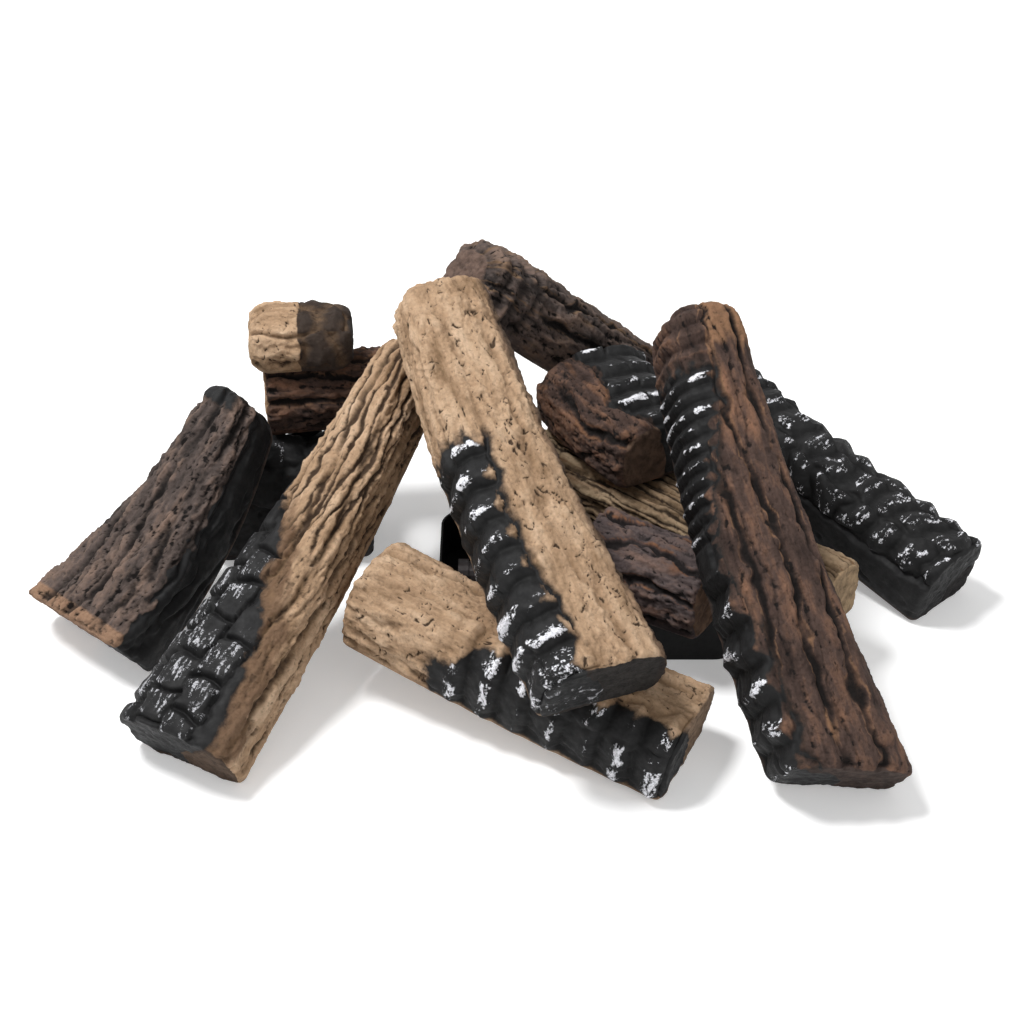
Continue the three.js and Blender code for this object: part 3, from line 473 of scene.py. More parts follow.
def groove_lines(at, spacing, width, bend, broken, seed):
    """Marks of smaller grooves that wander along the log; most start or stop part way."""
    rng = np.random.default_rng(at.seed + seed)
    cut = np.zeros_like(at.x)
    sideways = at.s + 2.2 * at.swirl[:, 2]
    for middle in np.arange(-SKIN_REACH, SKIN_REACH, spacing):
        centre = middle + rng.uniform(-0.22, 0.22) * spacing
        centre = centre + wander(at.x, rng, bend, ((150, 0.65), (52, 0.25), (23, 0.1)))
        start = rng.uniform(-1, 1) * broken * at.length
        stop = at.length + rng.uniform(-1, 1) * broken * at.length
        begun = eased(start - GROOVE_FADE, start + GROOVE_FADE, at.x)
        present = begun * eased(stop + GROOVE_FADE, stop - GROOVE_FADE, at.x)
        breadth = width * (1 + 0.35 * np.sin(at.x / rng.uniform(9, 16) + rng.uniform(0, 6)))
        cut = np.maximum(cut, present * np.exp(-(((sideways - centre) / breadth) ** 2)))
    return cut


def pitted(at, size, share, seed):
    """Round pits of uneven size in some of the cells of a grid."""
    near, _, code = cells((at.p + 2.5 * at.swirl) / [1.5 * size, size, size], at.seed + seed)
    ragged = near + 0.3 * at.noise(0.4 * size, seed + 1)
    return eased(0.36, 0.16, ragged) * (code < share)


def crumble(at):
    """The coarse grain of cast bark: lumps, pits and ragged low steps where flakes broke away. Also how
    much painted shade darkens its pits, the undercuts of its flakes and its low crumbs.
    """
    lumps = at.layered([15, 9, 9], 0, 3, 0.55)
    fine = at.layered([4.2, 3.2, 3.2], 1, 2)
    flakes = at.layered([26, 11, 11], 2, 2, swirl=3)
    steps = sum(eased(low, high, flakes) for low, high in FLAKE_STEPS)
    large = pitted(at, 8.5, 0.08, 3)
    small = pitted(at, 4.0, 0.16, 4)
    undercut = eased(0.06, 0.0, np.abs(flakes)) * eased(-0.3, 0.2, at.swirl[:, 0])
    crumbs = at.layered([6.5, 4.5, 4.5], 5, 3, 0.65, swirl=1.5)
    height = lumps + 0.4 * fine + 1.1 * crumbs + 0.9 * (steps - 1.5) - large - 0.5 * small
    # The second number is painted shade in pits, under flake steps and among low crumbs.
    low_crumbs = eased(-0.15, -0.6, crumbs)
    return height, np.clip(0.55 * large + 0.35 * small + 0.5 * undercut + 0.6 * low_crumbs, 0, 1)


def torn_cracks(at, size, width, seed):
    """Thin wandering cracks, in patches."""
    field = at.noise(size, seed, swirl=3.5)
    patchy = eased(0.0, 0.3, at.noise(9, seed + 1))
    return eased(width, 0.0, np.abs(field)) * patchy


def ridged_bark(at):
    """Broad ridges with narrow cracks, flakes and pits."""
    small = groove_lines(at, 10, 1.4, 5, 0.8, 5)
    cracks = torn_cracks(at, [34, 8, 8], 0.07, 8)
    grain, pits = crumble(at)
    height = -1.3 * small * (1 - at.cut) - 1.3 * cracks + grain
    return height, np.clip(0.35 * small + 0.6 * cracks + 0.8 * pits, 0, 1)


def wavy_bark(at):
    """Broad wavy ridges with only a fine grain."""
    small = groove_lines(at, 12, 1.6, 6, 0.8, 5)
    grain, pits = crumble(at)
    height = 1.4 * at.noise([50, 16, 16], 15) - 1.5 * small * (1 - at.cut) + 0.5 * grain
    return height, np.clip(0.4 * small + 0.65 * pits, 0, 1)


def rope_bark(at):
    """Narrow rounded strands that run along the log."""
    cut = groove_lines(at, 8.5, 1.5, 5, 0.5, 0)
    fine = groove_lines(at, 4.2, 0.8, 3, 0.9, 3)
    grain, pits = crumble(at)
    ropes = eased(0.3, 0.6, at.share + 0.1 * at.noise([60, 30, 30], 11))
    height = -(0.9 + 2.0 * ropes) * cut - 0.8 * fine + 0.8 * grain
    return height, np.clip((0.2 + 0.5 * ropes) * cut + 0.25 * fine + 0.5 * pits, 0, 1)


def sandy_bark(at):
    """A rubbed sandy face with pits and short cracks."""
    cracks = np.maximum(torn_cracks(at, [30, 8, 8], 0.06, 4), torn_cracks(at, [9, 14, 14], 0.04, 6))
    grain, pits = crumble(at)
    rubbed = eased(-0.35, 0.25, at.noise([40, 24, 24], 9))
    broad = 0.8 * at.noise([36, 20, 20], 7)
    crumbs = 0.8 * at.layered([11, 7, 7], 12, 3, 0.6, swirl=2)
    height = -1.6 * cracks + broad + (0.4 + 0.45 * rubbed) * grain + crumbs
    return height, np.clip(0.85 * cracks + (0.15 + 0.4 * rubbed) * pits, 0, 1)


def fine_bark(at):
    """Close parallel ridges, a few millimetres apart."""
    cut = groove_lines(at, 5.0, 1.1, 2.2, 0.5, 0)
    grain, pits = crumble(at)
    return 0.7 * grain - 1.8 * cut, np.clip(0.7 * cut + 0.5 * pits, 0, 1)


# The bark of each log between its main grooves, and how deep those are, from 0 to 1.
BARKS = {
    "left_bark_log": (ridged_bark, 0.7),
    "left_tan_log": (rope_bark, 0.7),
    "left_round_log": (ridged_bark, 0.9),
    "left_top_log": (sandy_bark, 0.5),
    "left_charred_log": (sandy_bark, 1.0),
    "centre_tan_log": (sandy_bark, 0.3),
    "front_tan_log": (sandy_bark, 0.3),
    "back_top_log": (ridged_bark, 1.0),
    "right_charred_log": (ridged_bark, 0.9),
    "pan_cross_log": (fine_bark, 0.5),
    "short_split_log": (ridged_bark, 1.0),
    "right_bark_log": (wavy_bark, 0.85),
    "far_right_log": (ridged_bark, 0.6),
}


# The edge of the char on the logs that are part burnt: shares of the length, and the angles there.
CHAR_EDGES = {
    "left_tan_log": ([0, 0.27, 0.33, 0.44, 0.5, 0.56, 0.64], [137, 122, 96, 86, 62, 45, 15]),
    "right_bark_log": ([0, 0.3, 0.4, 0.5, 0.6, 0.7, 0.76, 0.87], [40, 42, 32, 30, 44, 58, 74, 78]),
}

# The share of the length at which that char ends, and how deep its teeth are in degrees.
CHAR_STOPS = {
    "left_tan_log": (0.66, 4),
    "centre_tan_log": (0.58, 15),
    "front_tan_log": (0.71, 15),
    "right_bark_log": (0.86, 15),
}


def char_edge(at):
    """The angle round the section at which the char ends, at each point's share of the length."""
    if at.name == "centre_tan_log":
        return at.grooves[1] - 5 - 14 * eased(0.12, 0.0, at.share)
    if at.name == "front_tan_log":
        return 52 - 40 * eased(0.55, 0.7, at.share)
    shares, angles = CHAR_EDGES[at.name]
    return np.interp(at.share, shares, angles)


def burnt_of(at, raised):
    """How burnt each point is, 0 to 1."""
    share = at.share
    rough = at.layered([14, 9, 9], 50, 3)
    if at.name in CHAR_STOPS:
        stop, teeth = CHAR_STOPS[at.name]
        burnt = eased(-9, 7, char_edge(at) + teeth * (0.55 - raised) + 4.0 * rough - at.angle)
        return burnt * eased(stop + 0.035, stop - 0.03, share + 0.03 * rough)
    if at.name == "right_charred_log":
        return eased(-4, 4, at.angle - at.grooves[1] + 7 * rough)
    if at.name == "left_top_log":
        return 0.3 * eased(0.46, 0.52, share + 0.04 * rough)
    if at.name == "left_charred_log":
        return np.ones_like(share)
    if at.name == "left_bark_log":
        side = eased(-4, 4, at.angle - 150 + 7 * rough)
        head = eased(0.9, 0.95, share + 0.03 * rough) * eased(125, 105, at.angle)
        return np.maximum(side, head)
    if at.name == "far_right_log":
        return 1 - eased(-4, 4, at.angle - at.grooves[3] - 4 + 6 * rough)
    return np.zeros_like(share)


def painted_shade_rim(at):
    """Painted shade down the right side of the tan logs."""
    if at.name not in ("centre_tan_log", "front_tan_log"):
        return np.zeros_like(at.x)
    ragged = 0.07 * at.layered([16, 8, 8], 57, 3)
    return 0.43 * eased(-0.78, -0.92, at.across + ragged)


# How high up a crest ash begins and is full, and how much of it there is at most.
ASH_TOPS = {
    "left_tan_log": (0.5, 1.0, 0.36),
    "centre_tan_log": (0.5, 0.95, 0.92),
    "front_tan_log": (0.55, 1.0, 0.85),
    "right_bark_log": (0.6, 1.0, 0.8),
    "right_charred_log": (0.6, 1.0, 0.8),
    "left_charred_log": (0.85, 1.05, 0.3),
}


def ash_of(at, raised, codes):
    """How much ash is brushed on: mostly on the tops of crests, and not on each one alike."""
    patchy = eased(-0.55, 0.15, at.noise([18, 12, 12], 51))
    if at.name == "far_right_log":
        return 0.38 * patchy * eased(0.4, 0.6, raised) * eased(1.0, 0.75, raised)
    if at.name not in ASH_TOPS:
        return np.zeros_like(at.x)
    low, high, most = ASH_TOPS[at.name]
    each = 0.45 + 0.55 * eased(0.1, 0.6, codes)
    ash = most * each * patchy * eased(low, high, raised)
    if at.name == "centre_tan_log":
        corner = eased(0.1, 0.0, at.share) * eased(0.2, 0.7, patchy)
        ash = np.maximum(ash, 0.5 * corner)
    return ash


def tint_and_painted_light_of(at):
    """Where a log is brushed with its second colour. On some logs that is its own tint, on the tan logs
    it paints shade down one side or below the char, and on many others it paints highlights along the
    edges of ridges.
    """
    cloud = 0.3 * at.layered([30, 14, 14], 70, 3)
    # Painted highlight along the edges of the ridges, beside the grooves.
    ridge_edge_highlight = eased(0.04, 0.2, at.cut) * eased(0.6, 0.3, at.cut)
    tint_and_painted_light = 0.25 + 0.4 * ridge_edge_highlight
    if at.name == "left_top_log":
        return eased(0.46, 0.5, at.share + 0.1 * cloud)
    if at.name == "left_tan_log":
        # Painted shade on the unburnt bark below the char's edge, low down the log.
        tint_and_painted_light = 1.1 * eased(44, 12, at.angle - char_edge(at)) * eased(0.66, 0.4, at.share)
    if at.name == "left_bark_log":
        tint_and_painted_light = 1.2 * eased(0.075, 0.035, at.share + 0.02 * cloud)
    # Painted shade down the right side of the tan logs.
    if at.name == "centre_tan_log":
        tint_and_painted_light = 0.9 * eased(-0.55, -0.95, at.across)
    if at.name == "front_tan_log":
        tint_and_painted_light = 0.7 * eased(-0.5, -0.95, at.across)
    if at.name == "right_bark_log":
        patch = eased(0.84, 0.93, at.share) * eased(0.3, -0.1, at.across)
        streak = np.exp(-(((at.across - 0.1) / 0.2) ** 2)) * eased(0.15, 0.4, at.share)
        tint_and_painted_light = np.maximum(0.95 * patch, 0.2 * streak) + 0.5 * ridge_edge_highlight
    return np.clip(tint_and_painted_light + cloud, 0, 1)


def arc_places(points, body_rows):
    """Distance round each ring from its top, plus to the left. Ends take the nearest body ring's."""
    around = points.shape[1]
    top = around // 4
    steps = np.linalg.norm(np.roll(points, -1, axis=1) - points, axis=2)
    total = np.concatenate([np.zeros((len(points), 1)), np.cumsum(steps, axis=1)[:, :-1]], axis=1)
    distance = total[:, top][:, None] - total
    whole = steps.sum(axis=1)[:, None]
    arc = np.where(distance < -whole / 2, distance + whole, distance)
    arc[: body_rows[0]] = arc[body_rows[0]]
    arc[body_rows[1] :] = arc[body_rows[1] - 1]
    return arc


def ring_angles(rows, around):
    """Angles round the section in degrees, from -90 straight down over the left side to 270."""
    angle = np.arange(around) / around * 360
    angle = np.where(angle > 270, angle - 360, angle)
    return np.broadcast_to(angle[None, :], (rows, around)).reshape(-1)


def relief_of(at, texture, covered, crests, burnt):
    """Heights over the plain section: bark, smoother char, crests, chipped sides and broken ends."""
    deep_share = BARKS[at.name][1]
    grooved = -GROOVE_DEPTH * at.cut * (0.35 + 0.65 * deep_share) + texture
    smooth = 0.9 * at.layered([22, 12, 12], 52, 2) - GROOVE_DEPTH * at.cut
    if at.name == "left_bark_log":
        smooth = smooth - 2.4 * groove_lines(at, 15, 2.8, 8, 0.5, 90)
    grooved = grooved * (1 - burnt) + burnt * smooth
    crests = crests + 0.55 * at.layered(8, 53, 2) + 0.6 * texture * (1 - burnt)
    relief = grooved * (1 - covered) + crests * covered
    relief = relief - 3.2 * at.side * at.chips * (1 - 0.6 * burnt)
    relief = relief * (1 - 0.9 * at.under)
    broken = 1.3 * at.layered([20, 11, 11], 71, 3)
    broken += 0.3 * at.layered(4, 72, 2)
    relief = relief * (1 - at.end_face) + broken * at.end_face
    return np.minimum(relief, TALLEST_RELIEF)


def painted_hollow_shade_of(at, pits, covered, raised, burnt):
    """How much painted shade darkens each point: in pits and grooves, between crests and on chipped
    sides.
    """
    groove_shade = at.cut * BARKS[at.name][1] * (1 - covered)
    valley = (1 - eased(0.12, 0.5, raised)) * covered
    dark = np.maximum(pits, 0.9 * groove_shade) * (1 - burnt) + burnt * valley
    dark = np.clip(dark + 0.45 * at.side * at.chips, 0, 1)
    return dark * (1 - at.end_face) * (1 - at.under)


def skin_of(name, points, end_mark, half_width, body_rows):
    """Heights over the plain section, and the marks that the materials read."""
    rows, around = points.shape[:2]
    p = points.reshape(-1, 3)
    arc = arc_places(points, body_rows).reshape(-1)
    reach = np.broadcast_to(half_width, (rows, around)).reshape(-1)
    at = Places(name, p, arc, ring_angles(rows, around), reach, end_mark.reshape(-1))
    texture, pits = BARKS[name][0](at)
    covered, crests, raised, codes = band_relief(at)
    burnt = burnt_of(at, raised)
    relief = relief_of(at, texture, covered, crests, burnt)
    at_foot = (at.x < at.length / 2).astype(float)
    marks = {
        # The burnt mark also carries the painted shade down the right side of the tan logs.
        "burnt": np.maximum(burnt, painted_shade_rim(at)) * (1 - 0.8 * at.under),
        "ash": ash_of(at, raised, codes) * burnt * (1 - at.under) * (1 - 0.7 * at.end_face),
        "painted_shade_in_hollows": painted_hollow_shade_of(at, pits, covered, raised, burnt),
        "foot_face": at.end_face * at_foot,
        "head_face": at.end_face * (1 - at_foot),
        "tint_and_painted_light": tint_and_painted_light_of(at),
        "height": np.clip(0.5 + relief / 9, 0, 1),
        "place_on_log": p * MM,
    }
    return relief.reshape(rows, around, 1), marks


def turned(points, pitch, heading):
    """Points tipped up about the foot by the pitch, then turned to the heading, both in degrees."""
    up, way = math.radians(pitch), math.radians(heading)
    along, left, over = np.moveaxis(points, -1, 0)
    ahead = along * math.cos(up) - over * math.sin(up)
    height = along * math.sin(up) + over * math.cos(up)
    east = ahead * math.cos(way) - left * math.sin(way)
    north = ahead * math.sin(way) + left * math.cos(way)
    return np.stack([east, north, height], axis=-1)


def add_object(name, data):
    piece = bpy.data.objects.new(name, data)
    bpy.context.scene.collection.objects.link(piece)
    return piece


def make_log(name, step):
    """A carved log in its place in the stack."""
    spec = LOGS[name]
    points, end_mark, half_width, body_rows = log_grid(spec, step)
    relief, marks = skin_of(name, points, end_mark, half_width, body_rows)
    carved = turned(points + outward(points) * relief, spec["pitch"], spec["heading"])
    carved += np.array(spec["place"]) + np.array([*SET_SHIFT, 0])
    carved[..., 2] = np.maximum(carved[..., 2], 0)
    return add_object(name + "_carved", grid_mesh(name + "_surface", carved, marks))


# Materials
def new_material(name):
    material = bpy.data.materials.new(name)
    material.use_nodes = True
    tree = material.node_tree
    return material, tree, tree.nodes["Principled BSDF"]


def connect(tree, socket, value):
    """Sets a socket to a number or a colour, or links it to another node's output."""
    if isinstance(value, (int, float)):
        socket.default_value = value
    elif isinstance(value, tuple):
        socket.default_value = (*value, 1)
    else:
        tree.links.new(value, socket)


def fill(tree, node, **values):
    """Connects a node's inputs by name, with _ for a space."""
    for key, value in values.items():
        connect(tree, node.inputs[key.replace("_", " ")], value)
    return node


def add_node(tree, kind, **values):
    return fill(tree, tree.nodes.new(kind), **values)


def mark_node(tree, name, output="Fac"):
    """A mark that is stored on the mesh."""
    node = tree.nodes.new("ShaderNodeAttribute")
    node.attribute_name = name
    return node.outputs[output]


def mixed(tree, factor, first, second, blend="MIX"):
    node = tree.nodes.new("ShaderNodeMix")
    node.data_type = "RGBA"
    node.blend_type = blend
    connect(tree, node.inputs[0], factor)
    connect(tree, node.inputs[6], first)
    connect(tree, node.inputs[7], second)
    return node.outputs[2]


def maths(tree, operation, first, second):
    node = tree.nodes.new("ShaderNodeMath")
    node.operation = operation
    connect(tree, node.inputs[0], first)
    connect(tree, node.inputs[1], second)
    return node.outputs[0]


def ramp(tree, source, stops):
    node = tree.nodes.new("ShaderNodeValToRGB")
    elements = node.color_ramp.elements
    while len(elements) < len(stops):
        elements.new(0.5)
    for element, (position, colour) in zip(elements, stops):
        element.position = position
        element.color = (*colour, 1) if isinstance(colour, tuple) else (colour, colour, colour, 1)
    tree.links.new(source, node.inputs["Fac"])
    return node.outputs["Color"]


def noise_node(tree, where, scale, detail, roughness=0.6):
    node = add_node(tree, "ShaderNodeTexNoise", Vector=where, Scale=scale, Detail=detail)
    return fill(tree, node, Roughness=roughness).outputs["Fac"]


def stretched(tree, source, amount):
    mapping = add_node(tree, "ShaderNodeMapping", Vector=source)
    mapping.inputs["Scale"].default_value = amount
    return mapping.outputs["Vector"]


def place_in_space(tree):
    return tree.nodes.new("ShaderNodeTexCoord").outputs["Object"]


# Colours of the cast ceramic, before its burns and ash. The last of each is the painted shade laid into
# pits, cracks and grooves.
TONES = {
    "tan": dict(
        low=(0.27, 0.1688, 0.0945), middle=(0.54, 0.36, 0.225), high=(0.71, 0.51, 0.345),
        hollow_shade_colour=(0.0607, 0.0378, 0.0243),
    ),
    "umber": dict(
        low=(0.042, 0.034, 0.031), middle=(0.128, 0.097, 0.085), high=(0.28, 0.19, 0.145),
        hollow_shade_colour=(0.0095, 0.0074, 0.0068),
    ),
    "brown": dict(
        low=(0.038, 0.024, 0.02), middle=(0.098, 0.062, 0.05), high=(0.285, 0.15, 0.092),
        hollow_shade_colour=(0.0095, 0.0074, 0.0068),
    ),
    "olive": dict(
        low=(0.1755, 0.1148, 0.0648), middle=(0.3645, 0.2565, 0.1593), high=(0.54, 0.405, 0.2633),
        hollow_shade_colour=(0.0405, 0.027, 0.0175),
    ),
    "plum": dict(
        low=(0.0607, 0.0459, 0.0459), middle=(0.1242, 0.0945, 0.0905), high=(0.2295, 0.1458, 0.1148),
        hollow_shade_colour=(0.0149, 0.0121, 0.0121),
    ),
    "char": dict(
        low=(0.0162, 0.0162, 0.0175), middle=(0.0351, 0.0338, 0.0365), high=(0.0743, 0.0675, 0.0675),
        hollow_shade_colour=(0.0054, 0.0054, 0.0054),
    ),
}

# Scorched bark, which also paints the shade down the right side of the tan logs, and char in its darks,
# its lights and the painted shade of its deepest gaps.
SCORCH_AND_RIM_SHADE = (0.04, 0.029, 0.024)
CHAR_DARK = (0.003, 0.003, 0.0033)
CHAR_LIGHT = (0.015, 0.0147, 0.015)
CHAR_GAP_SHADE = (0.0012, 0.0012, 0.0012)

# The tone of each log, the colour brushed over parts of it, and the colours of its foot and head ends.
# white is how white its ash is, and brush how that is stretched along and across the log. On the left,
# centre and front tan logs the brushed colour is painted shade, and on most others it paints highlights
# along ridge edges.
LOOKS = {
    "left_bark_log": dict(
        tone="umber", brushed=(0.36, 0.22, 0.14), foot=(0.34, 0.21, 0.14), head=(0.068, 0.054, 0.05),
    ),
    # Its brushed colour is painted shade below the char's edge.
    "left_tan_log": dict(
        tone="tan", white=0.5, brush=(0.22, 1, 1),
        brushed=(0.2, 0.12, 0.072), foot=(0.14, 0.095, 0.068), head=(0.46, 0.32, 0.22),
    ),
    "left_round_log": dict(
        tone="brown", brushed=(0.22, 0.12, 0.068), foot=(0.51, 0.32, 0.19), head=(0.14, 0.095, 0.068),
    ),
    "left_top_log": dict(
        tone="tan", brushed=(0.034, 0.025, 0.022), foot=(0.57, 0.39, 0.24), head=(0.041, 0.036, 0.034),
    ),
    "left_charred_log": dict(
        tone="char",
        brushed=(0.068, 0.041, 0.034), foot=(0.027, 0.024, 0.024), head=(0.027, 0.024, 0.024),
    ),
    # Its brushed colour is painted shade down its right side, and its foot colour is painted shade on
    # the end that faces down.
    "centre_tan_log": dict(
        tone="tan", brushed=(0.22, 0.14, 0.088), foot=(0.043, 0.038, 0.035), head=(0.45, 0.31, 0.2),
    ),
    # Its brushed colour is painted shade down its right side.
    "front_tan_log": dict(
        tone="tan", brushed=(0.3, 0.19, 0.11), foot=(0.41, 0.28, 0.19), head=(0.35, 0.23, 0.15),
    ),
    "back_top_log": dict(
        tone="umber", brushed=(0.23, 0.14, 0.081), foot=(0.16, 0.11, 0.081), head=(0.18, 0.12, 0.095),
    ),
    "right_charred_log": dict(
        tone="brown", brushed=(0.22, 0.11, 0.061), foot=(0.16, 0.1, 0.068), head=(0.14, 0.095, 0.068),
    ),
    "pan_cross_log": dict(
        tone="olive", brushed=(0.22, 0.12, 0.061), foot=(0.54, 0.38, 0.23), head=(0.41, 0.27, 0.16),
    ),
    "short_split_log": dict(
        tone="plum", brushed=(0.26, 0.12, 0.061), foot=(0.23, 0.14, 0.092), head=(0.27, 0.18, 0.12),
    ),
    "right_bark_log": dict(
        tone="brown", brushed=(0.31, 0.17, 0.095), foot=(0.095, 0.068, 0.058), head=(0.2, 0.14, 0.1),
    ),
    "far_right_log": dict(
        tone="umber",
        brushed=(0.18, 0.11, 0.088), foot=(0.03, 0.027, 0.027), head=(0.041, 0.036, 0.035),
    ),
}

# The ash of a log that names none of its own.
ASH_WHITE = 0.86
ASH_BRUSH = (1, 0.35, 0.5)


def sprinkled(tree, mark, spread, *sources):
    """A mark from 0 to 1 whose edge is broken up by noise."""
    for source in sources:
        stray = maths(tree, "MULTIPLY", maths(tree, "SUBTRACT", source, 0.5), spread)
        mark = maths(tree, "ADD", mark, stray)
    return mark


def bark_colour(tree, colours, look, plain, along):
    """The unburnt colour: broad streaks, brushed patches that are partly painted shade and highlight,
    painted highlights on raised ridges, and painted shade in low places, pits and grooves.
    """
    body = [(0.34, colours["low"]), (0.5, colours["middle"]), (0.68, colours["high"])]
    body = ramp(tree, noise_node(tree, along, 60, 6, 0.65), body)
    # The brushed colour is the log's own tint in places, and painted shade and highlights elsewhere, as
    # its mark says.
    brushed = sprinkled(tree, mark_node(tree, "tint_and_painted_light"), 0.7, noise_node(tree, along, 170, 5))
    brushed = ramp(tree, brushed, [(0.35, 0.0), (0.72, 0.95)])
    body = mixed(tree, brushed, body, look["brushed"])
    # Painted highlight on the raised parts of the relief.
    crown = ramp(tree, mark_node(tree, "height"), [(0.54, 0.0), (0.78, 0.7)])
    body = mixed(tree, crown, body, mixed(tree, brushed, colours["high"], look["brushed"]))
    # Painted shade in the low parts of the relief.
    painted_low_shade = ramp(tree, mark_node(tree, "height"), [(0.12, 0.75), (0.42, 0.0)])
    body = mixed(tree, painted_low_shade, body, colours["low"])
    speck = ramp(tree, noise_node(tree, plain, 330, 8, 0.75), [(0.34, 0.5), (0.46, 0.95), (0.7, 1.15)])
    body = mixed(tree, 0.7, body, speck, "MULTIPLY")
    # Painted shade in pits, cracks and grooves.
    painted_shade_in_hollows = sprinkled(tree, mark_node(tree, "painted_shade_in_hollows"), 0.55, noise_node(tree, plain, 240, 4))
    painted_shade_in_hollows = ramp(tree, painted_shade_in_hollows, [(0.24, 0.0), (0.62, 0.97)])
    return mixed(tree, painted_shade_in_hollows, body, colours["hollow_shade_colour"])


def char_colour(tree, plain, look):
    """Satin black with painted shade in its hollows, and crumbs of ash where it was brushed on. Also
    says where that ash is.
    """
    char = ramp(tree, noise_node(tree, plain, 90, 5), [(0.3, CHAR_DARK), (0.72, CHAR_LIGHT)])
    # Painted shade in the char's hollows.
    deep = maths(tree, "MULTIPLY", mark_node(tree, "painted_shade_in_hollows"), 0.85)
    char = mixed(tree, deep, char, CHAR_GAP_SHADE)
    mark = mark_node(tree, "ash")
    crumbs = noise_node(tree, plain, 420, 8, 0.8)
    brush = look.get("brush", ASH_BRUSH)
    streaks = noise_node(tree, stretched(tree, plain, brush), 260, 5, 0.7)
    ash = ramp(tree, sprinkled(tree, mark, 3.4, crumbs, streaks), [(0.6, 0.0), (0.66, 1.0)])
    ash = mixed(tree, 1.0, ash, ramp(tree, mark, [(0.08, 0.0), (0.2, 1.0)]), "MULTIPLY")
    white = look.get("white", ASH_WHITE)
    thin = (0.42 * white, 0.425 * white, 0.45 * white)
    thick = (0.95 * white, 0.95 * white, white)
    tone = ramp(tree, noise_node(tree, plain, 650, 4, 0.7), [(0.36, thin), (0.55, thick)])
    return mixed(tree, ash, char, tone), ash


def end_colour(tree, body, plain, look):
    """The colour with the log's sawn or broken ends over it."""
    clouds = noise_node(tree, plain, 130, 5, 0.65)
    for key in ("foot", "head"):
        dark = tuple(0.4 * c for c in look[key])
        face = ramp(tree, clouds, [(0.34, dark), (0.6, look[key])])
        edge = sprinkled(tree, mark_node(tree, key + "_face"), 0.6, noise_node(tree, plain, 200, 4))
        body = mixed(tree, ramp(tree, edge, [(0.4, 0.0), (0.6, 1.0)]), body, face)
    return body


def crumbly_bump(tree, plain, burnt):
    """The finest grain of the ceramic, fainter where it is burnt."""
    grain = noise_node(tree, plain, 620, 8, 0.75)
    crumbs = add_node(tree, "ShaderNodeTexVoronoi", Vector=plain, Scale=330)
    lumps = maths(tree, "MULTIPLY", crumbs.outputs["Distance"], -0.3)
    rise = maths(tree, "ADD", lumps, maths(tree, "MULTIPLY", grain, 0.9))
    strength = mixed(tree, burnt, (0.9, 0.9, 0.9), (0.22, 0.22, 0.22))
    bump = add_node(tree, "ShaderNodeBump", Distance=0.0032, Strength=strength, Height=rise)
    return bump.outputs["Normal"]


def log_material(name, colours, look):
    """The ceramic of one log, from the marks that are stored on its mesh."""
    material, tree, shader = new_material(name + "_ceramic")
    plain = mark_node(tree, "place_on_log", "Vector")
    along = stretched(tree, plain, (0.28, 1, 1))
    body = end_colour(tree, bark_colour(tree, colours, look, plain, along), plain, look)
    edge = noise_node(tree, plain, 230, 6, 0.75)
    edge = sprinkled(tree, mark_node(tree, "burnt"), 0.8, edge)
    burnt = ramp(tree, edge, [(0.42, 0.0), (0.68, 1.0)])
    # Where the burnt mark carries the painted shade down the right side of the tan logs, this scorched
    # colour paints it.
    scorch_and_rim_shade = ramp(tree, edge, [(0.08, 0.0), (0.5, 0.75)])
    body = mixed(tree, scorch_and_rim_shade, body, SCORCH_AND_RIM_SHADE)
    char, ash = char_colour(tree, plain, look)
    body = mixed(tree, burnt, body, char)
    satin = ramp(tree, noise_node(tree, plain, 160, 3), [(0.3, 0.55), (0.7, 0.78)])
    rough = mixed(tree, burnt, (0.93, 0.93, 0.93), satin)
    rough = mixed(tree, ash, rough, (0.95, 0.95, 0.95))
    bump = crumbly_bump(tree, plain, burnt)
    fill(tree, shader, Base_Color=body, Roughness=rough, Specular_IOR_Level=0.2, Normal=bump)
    return material


def steel_material(name, colour, roughness, metallic, scale):
    """Metal with soft clouds in its colour and gloss, and a faint grain."""
    material, tree, shader = new_material(name)
    where = place_in_space(tree)
    darker = tuple(0.7 * c for c in colour)
    cloud = ramp(tree, noise_node(tree, where, scale, 4), [(0.35, darker), (0.65, colour)])
    rough = noise_node(tree, where, scale * 4, 3)
    rough = ramp(tree, rough, [(0.3, roughness * 0.8), (0.7, roughness * 1.2)])
    fine = noise_node(tree, where, scale * 12, 3)
    bump = add_node(tree, "ShaderNodeBump", Strength=0.15, Distance=0.0003, Height=fine)
    fill(tree, shader, Base_Color=cloud, Roughness=rough, Metallic=metallic, Specular_IOR_Level=0.2)
    fill(tree, shader, Normal=bump.outputs["Normal"])
    return material


def ember_material():
    """Sooty rock that glows red in its cracks."""
    material, tree, shader = new_material("ember_rock")
    where = place_in_space(tree)
    soot = [(0.3, (0.006, 0.005, 0.005)), (0.7, (0.05, 0.045, 0.045))]
    soot = ramp(tree, noise_node(tree, where, 260, 5), soot)
    glow = ramp(tree, noise_node(tree, where, 90, 5), [(0.52, (0, 0, 0)), (0.68, (1.0, 0.12, 0.02))])
    fill(tree, shader, Base_Color=soot, Roughness=0.9, Emission_Color=glow, Emission_Strength=1.2)
    return material


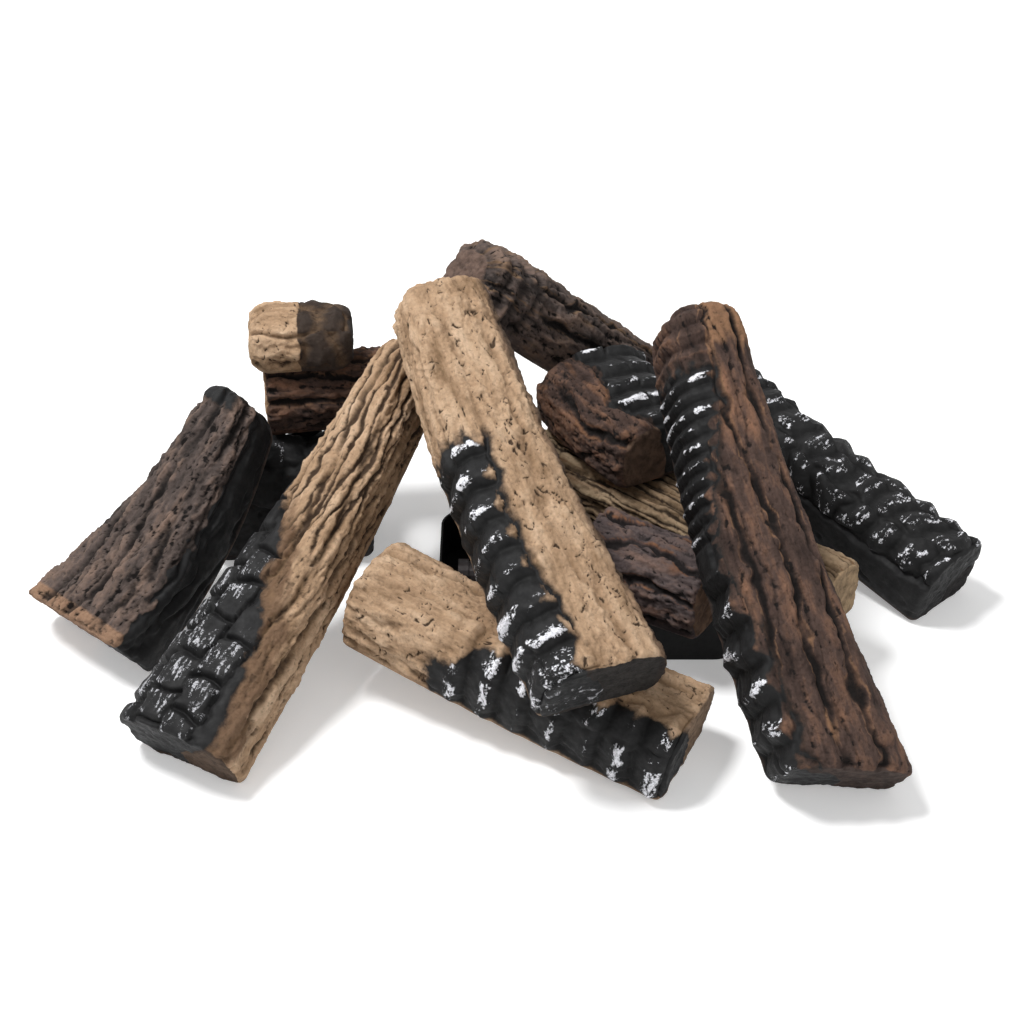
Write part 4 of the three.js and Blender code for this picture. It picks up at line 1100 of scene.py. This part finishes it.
# Embers
def make_ember(node, seed, material):
    """A lump of rock with broken faces that fills the node's box."""
    low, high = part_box(node)
    mesh = bpy.data.meshes.new(node + "_surface")
    work = bmesh.new()
    bmesh.ops.create_icosphere(work, subdivisions=5, radius=1)
    directions = np.array([tuple(v.co) for v in work.verts])
    near, second, _ = cells(directions * 1.3 + seed, seed)
    facets = 0.22 * (eased(0.0, 0.5, second - near) - 0.7)
    bulge = np.clip(0.92 + facets + 0.1 * layered(directions * 2 + seed, seed), 0.7, 1.0)
    for vertex, scale in zip(work.verts, bulge):
        vertex.co = vertex.co * float(scale)
    for face in work.faces:
        face.smooth = True
    work.to_mesh(mesh)
    work.free()
    piece = add_object(node + "_broken", mesh)
    piece.location = (low + high) / 2
    piece.scale = (high - low) / 2
    mesh.materials.append(material)
    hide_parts(node)
    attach(piece, "burner_base")


# The floor, the lamps and the camera
def seen_directly(tree):
    """1 for rays from the camera, through glass or off a mirror, and 0 for light on its way."""
    path = tree.nodes.new("ShaderNodeLightPath")
    total = maths(tree, "ADD", path.outputs["Is Camera Ray"], path.outputs["Is Glossy Ray"])
    return maths(tree, "MINIMUM", maths(tree, "ADD", total, path.outputs["Is Transmission Ray"]), 1.0)


def make_floor():
    material, tree, shader = new_material("floor_paper")
    lift = maths(tree, "MULTIPLY", seen_directly(tree), FLOOR_LIFT)
    fill(tree, shader, Base_Color=(0.9, 0.9, 0.9), Roughness=0.9, Specular_IOR_Level=0.0)
    fill(tree, shader, Emission_Color=(1, 1, 1), Emission_Strength=lift)
    mesh = bpy.data.meshes.new("floor")
    corners = [(-1, -1), (1, -1), (1, 1), (-1, 1)]
    corners = [(FLOOR_REACH * x, FLOOR_REACH * y, 0) for x, y in corners]
    mesh.from_pydata(corners, [], [(0, 1, 2, 3)])
    floor = add_object("floor", mesh)
    floor.location.z = -FLOOR_BELOW
    mesh.materials.append(material)


def make_lamp(name, place, size, power):
    data = bpy.data.lights.new(name, "AREA")
    data.shape = "DISK"
    data.size = size
    data.energy = power
    lamp = add_object(name, data)
    lamp.location = place
    aim = -lamp.location
    lamp.rotation_mode = "QUATERNION"
    lamp.rotation_quaternion = aim.to_track_quat("-Z", "Y")


def make_world():
    """A background that looks white, but lights the set less than that."""
    world = bpy.data.worlds.new("studio")
    bpy.context.scene.world = world
    world.use_nodes = True
    tree = world.node_tree
    more = maths(tree, "MULTIPLY", seen_directly(tree), 1 - WORLD_LIGHT)
    strength = maths(tree, "ADD", more, WORLD_LIGHT)
    fill(tree, tree.nodes["Background"], Color=(1, 1, 1), Strength=strength)


def make_camera():
    data = bpy.data.cameras.new("camera")
    data.sensor_width = CAMERA_SENSOR
    data.lens = CAMERA_LENS
    camera = add_object("camera", data)
    x, y, z = CAMERA_PLACE
    camera.location = (x + SET_SHIFT[0] * MM, y + SET_SHIFT[1] * MM, z)
    camera.rotation_euler = (math.radians(CAMERA_TILT), 0, 0)
    bpy.context.scene.camera = camera


# The metal pieces
def finish_of(node):
    """The name of the finish that a metal piece has."""
    if node == "burner_pan":
        return "black_steel"
    if node in ("orifice_spud", "inlet_nipple", "inlet_nut"):
        return "brass"
    if node.startswith(("burner_tube", "tube_", "bracket_")):
        return "burnt_steel"
    return "bare_steel"


bpy.context.scene.view_settings.view_transform = "Standard"
make_world()
make_camera()
make_floor()
for lamp_name, lamp in LAMPS.items():
    make_lamp(lamp_name, **lamp)

step = MESH_STEP
bodies = frame["record"]["behaviour"]["bodies"]
body_of = {node: body for body, nodes in bodies.items() for node in nodes}
for log_name, look in LOOKS.items():
    log = make_log(log_name, step)
    log.data.materials.append(log_material(log_name, TONES[look["tone"]], look))
    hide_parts(log_name)
    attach(log, body_of[log_name])

ember_rock = ember_material()
for number in range(1, 9):
    make_ember(f"ember_lump_{number}", number, ember_rock)

metals = {name: steel_material(name, **finish) for name, finish in FINISHES.items()}
for node, piece in frame["nodes"].items():
    if node not in LOGS and not node.startswith("ember"):
        piece.data.materials.clear()
        piece.data.materials.append(metals[finish_of(node)])
